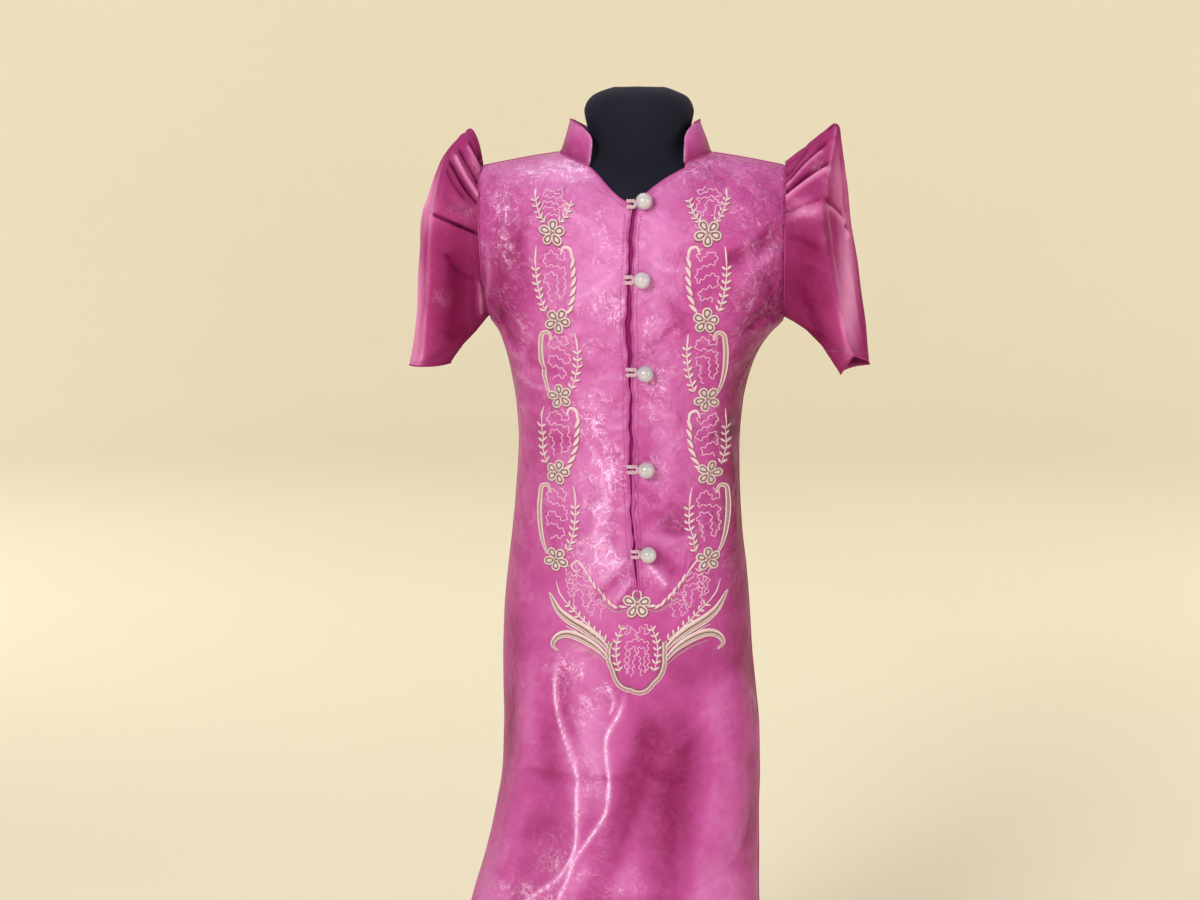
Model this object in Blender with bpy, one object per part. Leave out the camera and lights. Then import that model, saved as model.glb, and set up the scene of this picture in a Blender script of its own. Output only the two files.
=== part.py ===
"""A child's filipiniana dress on a limbless dress form.

Sizes in the tables are millimetres. +X is the photo's right, the front faces -Y, +Z is up,
and the origin is the centre of the base's underside.
"""
import math
import bmesh
import bpy

# driving sizes, in millimetres
WALL = 1.2
SLEEVE_WALL = 1.3
RIDGE_RISE = 3.6
RIDGE_BOW_WEARERS_RIGHT = 1.08
RIDGE_BOW_WEARERS_LEFT = 0.34
LOW_BOW = 0.45
LOW_BOW_ROW = 6
REACH_X = 0.30
REACH_X_UNDERARM = 0.12
REACH_Y = 0.80
SIDE_BULGE = 3.5
SIDE_FULL_DEPTH = 120.0
PLEAT_START = 0.15
SEAM_GAP = 0.35
CHEST_Z = 878.0
ARMPIT_Z = 811.0
SHOULDER_TIP_Z = 944.0
SHOULDER_NECK_Z = 962.0
SHOULDER_HALF = 134.0
ARMHOLE_DEPTH = 52.0
ARM_X_RIGHT = 133.5
ARM_X_LEFT = -128.5
ARM_LEAN_LEFT = 0.049
HEM_Z = 60.0
SLIT_END_Z = 566.0
COLLAR_CENTRE_X = 1.5
COLLAR_HALF_X = 66.5
COLLAR_HALF_Y = 58.0
COLLAR_TOP_IN = 9.5
COLLAR_HEIGHT = 28.0
COLLAR_OPEN_LEFT = 37.5
COLLAR_OPEN_RIGHT = 44.5
UNDERLAP_WALL = 1.0
PEARL_DIAMETER = 14.4
LOOP_THICK = 3.2
LOOP_HALF = 2.5
NECK_CENTRE_X = 4.5
NECK_RIM_Z = 988.0
NECK_TOP_Z = 1012.0
TORSO_END_Z = 490.0
POLE_DIAMETER = 28.0
BASE_DIAMETER = 300.0
BASE_HEIGHT = 22.0

# dress sections, hem to armpit
#   z, half_width, centre_x, front, back, flute
SECTIONS = [
    (HEM_Z, 156, -22, 122, 118, 7.0),
    (100, 153, -22, 119, 115, 6.3),
    (150, 149, -21.5, 114, 110, 5.4),
    (210, 141, -20.5, 107, 104, 4.2),
    (270, 133, -17, 100, 98, 3.0),
    (324, 124.7, -9.3, 95, 94, 2.0),
    (362, 120.2, -5.2, 92.5, 92.5, 1.3),
    (400, 117.6, -2, 91, 92, 0.8),
    (438, 116.4, -1.6, 91, 92, 0.4),
    (476, 114.7, -3.5, 90, 92, 0.2),
    (513, 112.7, -5.2, 89, 91, 0),
    (551, 110.6, -5.6, 88, 89, 0),
    (588, 107.1, -5.4, 86, 85, 0),
    (615, 103.8, -5.4, 84, 81, 0),
    (643, 101.3, -5.1, 82, 78, 0),
    (671, 99.6, -4.6, 80, 76, 0),
    (698, 98.7, -4.0, 79, 75, 0),
    (734, 101.1, -3.8, 80, 76, 0),
    (752, 104.2, -3.5, 81, 78, 0),
    (770, 108.7, -2.7, 82.5, 80, 0),
    (784, 113.8, -1.4, 84, 82, 0),
    (797, 120.8, 0.8, 85, 83, 0),
    (811, 131.0, 2.5, 86, 84, 0),
    (830, 131.5, 2.0, 86, 85, 0),
    (878, 132.5, 1.0, 86, 82, 0),
]

# heights of the mesh rows below the chest line
ROWS = [HEM_Z, 74, 100, 130, 165, 205, 245, 285, 324, 362, 400, 438, 476, 513, 540, 566, 588, 615, 643,
        671, 698, 722, 742, 758, 772, 784, 794, 803, 811, 814, 819, 827, 838, 850, 864, 878]
# parts of the way from the chest line to the shoulder or neckline
DOME = [0.10, 0.22, 0.34, 0.46, 0.58, 0.70, 0.81, 0.91, 1.0]

# centre slit, top to end
#   z, left_edge_x, right_edge_x
SLIT = [
    (914, 2.6, 7.3),
    (883, 0.0, 5.2),
    (849, -1.6, 4.3),
    (815, -2.8, 3.6),
    (772, -0.6, 4.0),
    (729, 0.3, 4.8),
    (690, 2.4, 6.0),
    (659, 4.4, 7.4),
    (620, 6.2, 8.8),
    (588, 7.2, 9.3),
    (566, 8.2, 8.2),
    (513, 5.0, 5.0),
    (400, 0.0, 0.0),
    (HEM_Z, -20.0, -20.0),
]

# V neckline seen from the front
#   x, z
NECKLINE = [
    (-36.0, 944.0),
    (-27.5, 936.5),
    (-20.8, 929.5),
    (-13.5, 922.2),
    (-5.4, 916.2),
    (2.6, 913.2),
    (7.3, 914.0),
    (12.0, 919.0),
    (20.5, 926.5),
    (32.0, 934.8),
    (46.0, 942.5),
]

# sleeve at the photo's left; rows go from the ridge on top of the shoulder to the hem.
# seam_x None means the row starts on the armhole; pleat moves the row out (+) or in (-).
#   seam_x, seam_z, front_x, front_y, front_z, back_x, back_y, back_z, pleat
SLEEVE_WEARERS_RIGHT = [
    (None, 943.6, -148.8, -5.6, 972.7, -148.9, 5.6, 972.9, 0),
    (None, 942, -150.8, -11, 970.3, -155.2, 12, 971.2, -0.3),
    (None, 939, -152.7, -16.5, 965.7, -159.7, 18, 967.2, -1.2),
    (None, 931, -155.4, -22, 961.9, -164.4, 26, 963.2, 1.8),
    (None, 921, -157.5, -30, 957.6, -168.0, 32, 959.5, -2.4),
    (None, 912, -159.7, -37, 952.9, -171.6, 38, 955.4, 2.6),
    (None, 905, -161.1, -43, 947.8, -175.2, 44, 950.8, -2.6),
    (None, 897, -161.2, -56, 936.0, -181.3, 55, 941.6, 0.5),
    (None, 890, -162.0, -67, 921.7, -187.5, 65, 929.6, 1.0),
    (None, 884.5, -164.6, -74, 910.8, -192.4, 72.5, 916.5, 1.2),
    (None, 881, -169.9, -77, 904.0, -196.4, 77, 903.5, -1.6),
    (None, 874, -170.5, -79.5, 892.1, -199.7, 79.5, 890.5, 0),
    (None, 860, -172.0, -80, 866.4, -202.0, 80, 859.9, 0),
    (None, 845, -173.6, -80, 838.9, -204.2, 80, 832.0, 0),
    (None, 830, -175.1, -80, 814.7, -205.9, 80, 806.8, 0),
    (None, 819, -176.2, -80, 797.3, -207.9, 80, 788.1, 0),
    (None, 812, -178.1, -80, 785.1, -209.5, 80, 775.9, 0),
    (-141.2, 798.3, -179.4, -80, 779.9, -210.5, 80, 768.3, 0),
    (-153.0, 785.0, -180.8, -80, 776.4, -211.5, 80, 763.6, 0),
    (-165.0, 768.0, -181.7, -80, 772.9, -212.1, 80, 758.0, 0),
]

# sleeve at the photo's right, the same columns
SLEEVE_WEARERS_LEFT = [
    (None, 943.6, 177.0, -6.4, 979.8, 178.6, 6.4, 980.0, 0),
    (None, 941.5, 177.8, -11, 976.7, 181.4, 12, 975.6, -0.3),
    (None, 937, 177.1, -19.5, 969.4, 182.7, 18, 966.5, -1.2),
    (None, 929, 176.1, -25, 964.3, 184.4, 28, 959.4, 2.2),
    (None, 922, 175.1, -32, 959.2, 185.7, 36, 953.1, -2.2),
    (None, 914, 174.2, -39, 953.3, 187.4, 44, 945.9, 2.8),
    (None, 906.5, 172.4, -44, 947.4, 188.6, 50, 938.6, -2.8),
    (None, 899, 170.1, -54, 937.3, 190.4, 59, 927.6, 0.6),
    (None, 891, 167.9, -64, 924.8, 192.2, 67, 914.8, 1.0),
    (None, 884, 165.7, -72, 911.5, 194.0, 73, 902.8, 0.8),
    (None, 876, 165.8, -77, 898.1, 196.2, 77, 889.0, 0),
    (None, 862, 168.1, -80, 880.5, 199.3, 79.5, 870.6, 0),
    (None, 847, 172.2, -80, 859.3, 202.8, 80, 849.6, 0),
    (None, 832, 177.2, -80, 836.3, 206.3, 80, 827.5, 0),
    (None, 820.5, 182.5, -80, 815.9, 209.4, 80, 804.5, 0),
    (None, 812, 186.1, -80, 803.1, 211.0, 80, 789.7, 0),
    (151.0, 802.0, 188.4, -80, 795.4, 212.1, 80, 779.6, 0),
    (167.5, 785.5, 190.1, -80, 790.2, 213.2, 80, 771.3, 0),
    (184.5, 760.0, 192.3, -80, 784.7, 214.3, 80, 761.1, 0),
]

# collar's front ends, foot to top: how far each is cut back, as a share of its reach
#   part of height, photo_left, photo_right
COLLAR_ENDS = [
    (0.0, 0.0, 0.0),
    (0.25, 0.002, 0.012),
    (0.5, 0.008, 0.03),
    (0.74, 0.02, 0.055),
    (0.9, 0.05, 0.095),
    (1.0, 0.125, 0.17),
]

# pearls down the slit
#   x, z
BUTTONS = [(13.0, 912.5), (12.0, 848.7), (14.0, 769.2), (14.7, 684.0), (16.7, 610.2)]

# dress form sections below the armpit: how far inside the dress it lies
#   z, clearance
CLEAR = [(490, 9.0), (560, 8.0), (640, 6.0), (700, 5.0), (770, 5.0), (811, 4.2), (878, 3.4)]


def lerp(a, b, t):
    return a + (b - a) * t


def table(rows, key, column):
    """Value of a column at a height, eased between the rows that hold it."""
    rows = sorted(rows)
    if key <= rows[0][0]:
        return rows[0][column]
    if key >= rows[-1][0]:
        return rows[-1][column]
    i = max(k for k in range(len(rows) - 1) if rows[k][0] <= key)
    x0, x1 = rows[i][0], rows[i + 1][0]
    y0, y1 = rows[i][column], rows[i + 1][column]

    def slope(k):
        if k <= 0 or k >= len(rows) - 1:
            return None
        a = (rows[k][column] - rows[k - 1][column]) / (rows[k][0] - rows[k - 1][0])
        b = (rows[k + 1][column] - rows[k][column]) / (rows[k + 1][0] - rows[k][0])
        return 0.0 if a * b <= 0 else 2 * a * b / (a + b)

    flat = (y1 - y0) / (x1 - x0)
    m0 = slope(i)
    m1 = slope(i + 1)
    m0 = flat if m0 is None else m0
    m1 = flat if m1 is None else m1
    t = (key - x0) / (x1 - x0)
    h = x1 - x0
    return ((2 * t ** 3 - 3 * t ** 2 + 1) * y0 + (t ** 3 - 2 * t ** 2 + t) * h * m0
            + (3 * t ** 2 - 2 * t ** 3) * y1 + (t ** 3 - t ** 2) * h * m1)


def seam_left(z):
    """x of the photo-left side seam or armhole at a height."""
    if z >= ARMPIT_Z:
        return ARM_X_LEFT - (z - ARMPIT_Z) * ARM_LEAN_LEFT
    return table(SECTIONS, z, 2) - table(SECTIONS, z, 1)


def seam_right(z):
    """x of the photo-right side seam or armhole at a height."""
    if z >= ARMPIT_Z:
        return ARM_X_RIGHT
    return table(SECTIONS, z, 2) + table(SECTIONS, z, 1)


def arm_depth(z):
    """Depth of the armhole's curve in front of and behind the shoulder line."""
    if z <= ARMPIT_Z:
        return 0.0
    half = CHEST_Z - ARMPIT_Z if z < CHEST_Z else SHOULDER_TIP_Z - CHEST_Z
    return ARMHOLE_DEPTH * math.sqrt(max(0.0, 1 - ((z - CHEST_Z) / half) ** 2))


def shoulder_z(x):
    return lerp(SHOULDER_NECK_Z, SHOULDER_TIP_Z, min(1.0, abs(x - 1.0) / SHOULDER_HALF) ** 1.6)


def flute(angle, z):
    """Soft folds that open toward the hem; uneven round the skirt."""
    size = table(SECTIONS, z, 5)
    return size * (0.60 * math.sin(5 * angle + 0.9) + 0.40 * math.sin(8 * angle - 0.7)
                   + 0.25 * math.sin(3 * angle + 2.0))


def surface(side, u, z=None, rise=0.0):
    """Point on the dress's outside.

    side is 3 (front) or 4 (back), u runs -1..1 from the left seam to the right seam.
    Up to the chest line the point has height z; above it, rise (0..90 degrees) carries it over
    the shoulder.
    """
    sign = -1 if side == 3 else 1
    at = CHEST_Z if rise > 0 else z
    depth = table(SECTIONS, at, side)
    widest = math.acos(arm_depth(at) / depth)
    angle = u * widest
    if rise > 0:
        edge_z = lerp(CHEST_Z, SHOULDER_TIP_Z, math.sin(rise))
    else:
        edge_z = z
    left, right = seam_left(edge_z), seam_right(edge_z)
    x = (left + right) / 2 + (right - left) / 2 * math.sin(angle) / math.sin(widest)
    y = sign * depth * math.cos(angle)
    if rise > 0:
        y *= math.cos(rise)
        return [x, y, lerp(CHEST_Z, shoulder_z(x), math.sin(rise))]
    fold = flute(angle if side == 3 else math.pi - angle, z)
    return [x + fold * math.sin(angle), y + sign * fold * math.cos(angle), z]


def normal(side, u, z=None, rise=0.0):
    """Outward direction of the dress's outside."""
    h = 1e-3
    a = surface(side, u - h, z, rise)
    b = surface(side, u + h, z, rise)
    if rise > 0:
        c = surface(side, u, z, max(1e-4, rise - h))
        d = surface(side, u, z, rise + h)
    else:
        c = surface(side, u, z - 0.5, 0)
        d = surface(side, u, min(z + 0.5, CHEST_Z), 0)
    e = [b[i] - a[i] for i in range(3)]
    f = [d[i] - c[i] for i in range(3)]
    n = [e[1] * f[2] - e[2] * f[1], e[2] * f[0] - e[0] * f[2], e[0] * f[1] - e[1] * f[0]]
    if side == 4:
        n = [-v for v in n]
    size = math.sqrt(sum(v * v for v in n)) or 1.0
    return [v / size for v in n]


def u_at(x, side, z):
    """u of the point of a row that has this x."""
    at = min(z, CHEST_Z)
    depth = table(SECTIONS, at, side)
    widest = math.acos(arm_depth(at) / depth)
    left, right = seam_left(z), seam_right(z)
    s = (x - (left + right) / 2) / ((right - left) / 2) * math.sin(widest)
    return math.asin(max(-1.0, min(1.0, s))) / widest


def u_over(x, side, rise):
    """u of the point over the shoulder that has this x."""
    depth = table(SECTIONS, CHEST_Z, side)
    widest = math.acos(arm_depth(CHEST_Z) / depth)
    edge_z = lerp(CHEST_Z, SHOULDER_TIP_Z, math.sin(rise))
    left, right = seam_left(edge_z), seam_right(edge_z)
    s = (x - (left + right) / 2) / ((right - left) / 2) * math.sin(widest)
    return math.asin(max(-1.0, min(1.0, s))) / widest


def top_edge(side, x):
    """u and rise where a panel ends above x: the shoulder seam, the collar's ring or the V neckline."""
    dx = abs(x - COLLAR_CENTRE_X)
    rise = math.radians(90.0)
    for _ in range(14):
        u = u_over(x, side, rise)
        depth = abs(surface(side, u, CHEST_Z)[1])
        if dx >= COLLAR_HALF_X:
            break
        if side == 3 and -COLLAR_OPEN_LEFT <= x - COLLAR_CENTRE_X <= COLLAR_OPEN_RIGHT:
            new = math.asin(min(1.0, (table(NECKLINE, x, 1) - CHEST_Z) / (shoulder_z(x) - CHEST_Z)))
        else:
            new = math.acos(min(1.0, COLLAR_HALF_Y * math.sqrt(1 - (dx / COLLAR_HALF_X) ** 2) / depth))
        rise = 0.5 * (rise + new)
    return u, rise


def over(side, u, top_x, part):
    """Point on the way from the chest line at u to the panel's top edge above top_x."""
    if top_x is None:
        end_u, end_rise = u, math.radians(90.0)
    else:
        end_u, end_rise = top_edge(side, top_x)
    return surface(side, lerp(u, end_u, part), rise=part * end_rise)


def mesh_object(name, points, faces, material):
    mesh = bpy.data.meshes.new(name)
    mesh.from_pydata([[v * 0.001 for v in p] for p in points], [], faces)
    mesh.update()
    thing = bpy.data.objects.new(name, mesh)
    bpy.context.scene.collection.objects.link(thing)
    thing.data.materials.append(material)
    for polygon in mesh.polygons:
        polygon.use_smooth = True
    return thing


def walled(thing, wall, even=True):
    """Give a sheet its wall, inward from the outside."""
    solid = thing.modifiers.new("wall", "SOLIDIFY")
    solid.thickness = wall * 0.001
    solid.offset = -1
    solid.use_even_offset = even
    solid.use_rim = True
    return thing


def grid_faces(rows, columns, flip=False, start=0):
    faces = []
    for i in range(rows - 1):
        for j in range(columns - 1):
            a = start + i * columns + j
            face = (a, a + 1, a + columns + 1, a + columns)
            faces.append(face[::-1] if flip else face)
    return faces


def principled(name, colour, roughness, metallic=0.0):
    material = bpy.data.materials.new(name)
    material.use_nodes = True
    shader = material.node_tree.nodes["Principled BSDF"]
    shader.inputs["Base Color"].default_value = (*colour, 1.0)
    shader.inputs["Roughness"].default_value = roughness
    shader.inputs["Metallic"].default_value = metallic
    material.diffuse_color = (*colour, 1.0)
    return material


# columns of the front, seam to slit: x at the chest line and x where they end above it
LEFT_X = [None, -119, -104, -89, -74, -66, -57, -47, -37, -29, -21.5, -14, -6.5, None]
LEFT_TOP = [None, -118, -101, -84, -65, -63.2, -57.5, -48, -36, -27.5, -20.8, -13.5, -5.4, 2.6]
RIGHT_X = [None, 12, 19, 27, 36, 45, 53, 61, 69, 77, 91, 105, 119, None]
RIGHT_TOP = [7.3, 12, 20.5, 28, 36.5, 46, 54.5, 61.5, 66.2, 68, 85, 101, 118, None]


def front_columns(z):
    """u of every column of the front at a height, the slit's two edges in the middle."""
    at = min(z, CHEST_Z)
    slit_l = u_at(table(SLIT, at, 1), 3, at)
    slit_r = u_at(table(SLIT, at, 2), 3, at)
    chest_l = u_at(table(SLIT, CHEST_Z, 1), 3, CHEST_Z)
    chest_r = u_at(table(SLIT, CHEST_Z, 2), 3, CHEST_Z)
    left, right = [], []
    for x in LEFT_X[1:-1]:
        part = (u_at(x, 3, CHEST_Z) + 1) / (chest_l + 1)
        left.append(-1 + part * (slit_l + 1))
    for x in RIGHT_X[1:-1]:
        part = (1 - u_at(x, 3, CHEST_Z)) / (1 - chest_r)
        right.append(1 - part * (1 - slit_r))
    return [-1.0] + left + [slit_l], [slit_r] + right + [1.0]


def front_row(index):
    """Points of one row of the front: the left half's, then the right half's."""
    out = []
    for half in (0, 1):
        row = []
        if index < len(ROWS):
            z = ROWS[index]
            for u in front_columns(z)[half]:
                row.append(surface(3, u, z))
        else:
            part = DOME[index - len(ROWS)]
            for u, top_x in zip(front_columns(CHEST_Z)[half], (LEFT_TOP, RIGHT_TOP)[half]):
                row.append(over(3, u, top_x, part))
        out.append(row)
    return out


def seam_shift(point, side):
    """Keep the panels' edges apart at the side and shoulder seams."""
    sign = -1 if side == 3 else 1
    if sign * point[1] < SEAM_GAP / 2 + 0.03:
        point[1] = sign * (SEAM_GAP / 2 + 0.03)
    return point


def build_front(material):
    points, faces, index = [], [], {}
    count = len(ROWS) + len(DOME)
    left_n, right_n = len(LEFT_X), len(RIGHT_X)
    end = ROWS.index(int(SLIT_END_Z))
    for i in range(count):
        left, right = front_row(i)
        for j, p in enumerate(left):
            index[i, 0, j] = len(points)
            points.append(seam_shift(p, 3))
        for j, p in enumerate(right):
            if j == 0 and i <= end:
                index[i, 1, 0] = index[i, 0, left_n - 1]
                continue
            index[i, 1, j] = len(points)
            points.append(seam_shift(p, 3))
    for i in range(count - 1):
        for half, n in ((0, left_n), (1, right_n)):
            for j in range(n - 1):
                faces.append((index[i, half, j], index[i, half, j + 1],
                              index[i + 1, half, j + 1], index[i + 1, half, j]))
    return walled(mesh_object("front", points, faces, material), WALL)


# columns of the back, the same two measures
BACK_X = [None, -119, -104, -89, -74, -64, -53, -39, -20, 1.5, 23, 42, 56, 67, 77, 91, 105, 119, None]
BACK_TOP = [None, -118, -101, -84, -65, -62.5, -54, -39, -20, 1.5, 23, 42, 57, 65.5, 68, 85, 101, 118, None]


def build_back(material):
    points = []
    columns = [-1.0] + [u_at(x, 4, CHEST_Z) for x in BACK_X[1:-1]] + [1.0]
    for z in ROWS:
        for u in columns:
            points.append(seam_shift(surface(4, u, z), 4))
    for part in DOME:
        for u, top_x in zip(columns, BACK_TOP):
            points.append(seam_shift(over(4, u, top_x, part), 4))
    faces = grid_faces(len(ROWS) + len(DOME), len(columns), flip=True)
    return walled(mesh_object("back", points, faces, material), WALL)


def build_underlap(material):
    """Strip behind the slit, its points the front's moved inward."""
    points = []
    sink = WALL + SEAM_GAP + 0.05
    rows = []
    for z in [r for r in ROWS if 540 <= r <= CHEST_Z]:
        rows.append((z, 0.0))
    for rise in (0.10, 0.20, 0.30, 0.38):
        rows.append((None, rise))
    spots = [-11.0, -4.0, 1.0, 5.0, 10.0, 17.0]
    for z, rise in rows:
        middle = table(SLIT, CHEST_Z if z is None else z, 1)
        for spot in spots:
            at = CHEST_Z if z is None else z
            u = u_at(middle + spot, 3, at)
            p = surface(3, u, z, rise)
            n = normal(3, u, z, rise)
            points.append([p[k] - n[k] * sink for k in range(3)])
    faces = grid_faces(len(rows), len(spots))
    return walled(mesh_object("placket_underlap", points, faces, material), UNDERLAP_WALL)


def bend(a, b, c, t):
    return [(1 - t) ** 2 * a[k] + 2 * t * (1 - t) * b[k] + t * t * c[k] for k in range(3)]


FRONT_T = [0.0, 0.14, 0.30, 0.46, 0.62, 0.80, 1.0]
SIDE_T = [0.0, 0.2, 0.4, 0.6, 0.8, 1.0]


def pleat_depth(pleat, t):
    """A pleat swells from the seam, where it is nil, and dies out at the corner."""
    return pleat * math.sin(math.pi * min(1.0, t * (1 - PLEAT_START) + PLEAT_START)) if t > 0 else 0.0


def sleeve_row(row, out, bow):
    """Points of one row: along the front face, round the side face, back along the back face."""
    seam_x, seam_z = row[0:2]
    front = list(row[2:5])
    back = list(row[5:8])
    pleat = row[8]
    under = seam_x is not None
    if under:
        seam = [seam_x, 0.0, seam_z]
    else:
        edge = seam_left(seam_z) if out < 0 else seam_right(seam_z)
        seam = [edge + out * SEAM_GAP, -arm_depth(seam_z), seam_z]
    seam_back = [seam[0], -seam[1], seam[2]]
    reach = (REACH_X_UNDERARM if under else REACH_X, REACH_Y, bow)
    reach_f = [lerp(seam[k], front[k], reach[k]) for k in range(3)]
    reach_b = [lerp(seam_back[k], back[k], reach[k]) for k in range(3)]
    points = []
    for t in FRONT_T:
        p = bend(seam, reach_f, front, t)
        p[1] -= pleat_depth(pleat, t)
        points.append(p)
    bulge = SIDE_BULGE * min(1.0, abs(back[1] - front[1]) / SIDE_FULL_DEPTH)
    for t in SIDE_T[1:]:
        p = [lerp(front[k], back[k], t) for k in range(3)]
        p[0] += out * bulge * math.sin(math.pi * t)
        points.append(p)
    for t in FRONT_T[-2::-1]:
        p = bend(seam_back, reach_b, back, t)
        p[1] += pleat_depth(pleat, t)
        points.append(p)
    return points


def build_sleeve(name, rows, ridge_bow, material):
    """Rings from the ridge to the hem; closed under the arm, folded along the ridge."""
    out = -1 if rows[0][2] < 0 else 1
    points, faces, index = [], [], {}
    n = 2 * len(FRONT_T) + len(SIDE_T) - 2
    for i, row in enumerate(rows):
        bow = lerp(ridge_bow, LOW_BOW, min(1.0, i / LOW_BOW_ROW))
        ring = sleeve_row(row, out, bow)
        closed = row[0] is not None
        for j, p in enumerate(ring):
            if closed and j == n - 1:
                index[i, j] = index[i, 0]
                continue
            index[i, j] = len(points)
            points.append(p)
    ridge = []
    top = sleeve_row(rows[0], out, ridge_bow)
    for j in range(len(FRONT_T)):
        a, b = top[j], top[n - 1 - j]
        ridge.append(len(points))
        points.append([(a[k] + b[k]) / 2 + (RIDGE_RISE if k == 2 else 0) for k in range(3)])
    for j in range(len(FRONT_T) - 1):
        faces.append((index[0, j], index[0, j + 1], ridge[j + 1], ridge[j]))
        faces.append((ridge[j], ridge[j + 1], index[0, n - 2 - j], index[0, n - 1 - j]))
    side = list(range(len(FRONT_T) - 1, n - len(FRONT_T) + 1))
    for a, b in zip(side, side[1:]):
        faces.append((index[0, a], index[0, b], ridge[-1]))
    for i in range(len(rows) - 1):
        for j in range(n - 1):
            a, b, c, d = index[i, j], index[i + 1, j], index[i + 1, j + 1], index[i, j + 1]
            corners = []
            for v in (a, b, c, d):
                if v not in corners:
                    corners.append(v)
            faces.append(tuple(corners))
    if out < 0:
        faces = [f[::-1] for f in faces]
    return walled(mesh_object(name, points, faces, material), SLEEVE_WALL, even=False)


def collar_point(angle, part):
    """Outside of the collar: angle from the back's middle, part 0..1 up its height."""
    x = COLLAR_CENTRE_X + COLLAR_HALF_X * math.sin(angle)
    y = COLLAR_HALF_Y * math.cos(angle)
    side = 4 if y > 0 else 3
    u = u_at(x, side, CHEST_Z)
    for _ in range(6):
        depth = abs(surface(side, u, CHEST_Z)[1])
        rise = math.acos(min(1.0, abs(y) / depth))
        p = surface(side, u, rise=max(rise, 0.01))
        u += (x - p[0]) / 180.0
    base = lerp(CHEST_Z, shoulder_z(x), math.sin(rise)) + SEAM_GAP + 0.25
    lean = COLLAR_TOP_IN * part
    return [x - lean * math.sin(angle), y - lean * math.cos(angle), base + COLLAR_HEIGHT * part]


def build_collar(material):
    """Stand collar from one rounded front end round the back to the other."""
    reach_left = math.pi - math.asin(COLLAR_OPEN_LEFT / COLLAR_HALF_X)
    reach_right = math.pi - math.asin(COLLAR_OPEN_RIGHT / COLLAR_HALF_X)
    steps = [-1, -0.955, -0.90, -0.83, -0.74, -0.64, -0.52, -0.39, -0.26, -0.13, 0,
             0.13, 0.26, 0.39, 0.52, 0.64, 0.74, 0.83, 0.90, 0.955, 1]
    points = []
    for part, cut_left, cut_right in COLLAR_ENDS:
        for step in steps:
            near = max(0.0, (abs(step) - 0.74) / 0.26)
            cut = cut_left if step < 0 else cut_right
            reach = reach_left if step < 0 else reach_right
            points.append(collar_point(step * reach * (1 - cut * near), part))
    faces = grid_faces(len(COLLAR_ENDS), len(steps), flip=True)
    return walled(mesh_object("collar", points, faces, material), WALL)


def lofted(rings, close_start=True, close_end=True):
    """Faces and points of rings joined in turn, with the ends closed."""
    points, faces = [], []
    n = len(rings[0])
    for ring in rings:
        points.extend(ring)
    for i in range(len(rings) - 1):
        for j in range(n):
            k = (j + 1) % n
            faces.append((i * n + j, i * n + k, (i + 1) * n + k, (i + 1) * n + j))
    if close_start:
        faces.append(tuple(range(n - 1, -1, -1)))
    if close_end:
        last = (len(rings) - 1) * n
        faces.append(tuple(range(last, last + n)))
    return points, faces


# bearings round the dress form, in degrees from the photo's right; the flat sides end at 21
BEARINGS = [0, 8, 15, 21, 28, 37, 47, 58, 69, 80, 90]


def torso_bearings():
    quarter = BEARINGS
    half = quarter + [180 - b for b in quarter[-2::-1]]
    return half + [360 - b for b in half[-2:0:-1]]


def torso_point(bearing, z):
    """Point of the form at a height up to the chest line: the dress's section, moved in."""
    gap = WALL + table(CLEAR, z, 1)
    angle = math.radians(bearing)
    side = 4 if math.sin(angle) >= 0 else 3
    depth = table(SECTIONS, z, side)
    left, right = seam_left(z), seam_right(z)
    half = (right - left) / 2
    widest = math.acos(arm_depth(z) / depth)
    long = half / math.sin(widest) - gap
    deep = depth - gap
    reach = 1 / math.hypot(math.cos(angle) / long, math.sin(angle) / deep)
    x = reach * math.cos(angle)
    y = reach * math.sin(angle)
    limit = half - gap
    if abs(x) > limit:
        y *= limit / abs(x)
        x = math.copysign(limit, x)
    return [(left + right) / 2 + x, y, z]


def torso_dome(bearing, part):
    """Point of the form between the chest line (0) and the neck (1)."""
    edge = torso_point(bearing, CHEST_Z)
    angle = math.atan2(edge[1] / 82.0, (edge[0] - NECK_CENTRE_X) / 128.0)
    neck = [NECK_CENTRE_X + 45.5 * math.cos(angle), 43.0 * math.sin(angle)]
    x = lerp(edge[0], neck[0], part)
    y = lerp(edge[1], neck[1], part)
    side = 3 if y < 0 else 4
    depth = table(SECTIONS, CHEST_Z, side)
    left, right = seam_left(CHEST_Z), seam_right(CHEST_Z)
    long = (right - left) / 2 / math.sin(math.acos(arm_depth(CHEST_Z) / depth))
    here = depth * math.sqrt(1 - ((x - (left + right) / 2) / long) ** 2)
    inside = WALL + table(CLEAR, CHEST_Z, 1)
    rise = math.acos(min(1.0, abs(y) / (here - inside * depth / here * 0.7)))
    gap = WALL + lerp(5.0, 1.1, min(1.0, rise / math.radians(70)))
    return [x, y, lerp(CHEST_Z, shoulder_z(x), math.sin(rise)) - gap]


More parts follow.
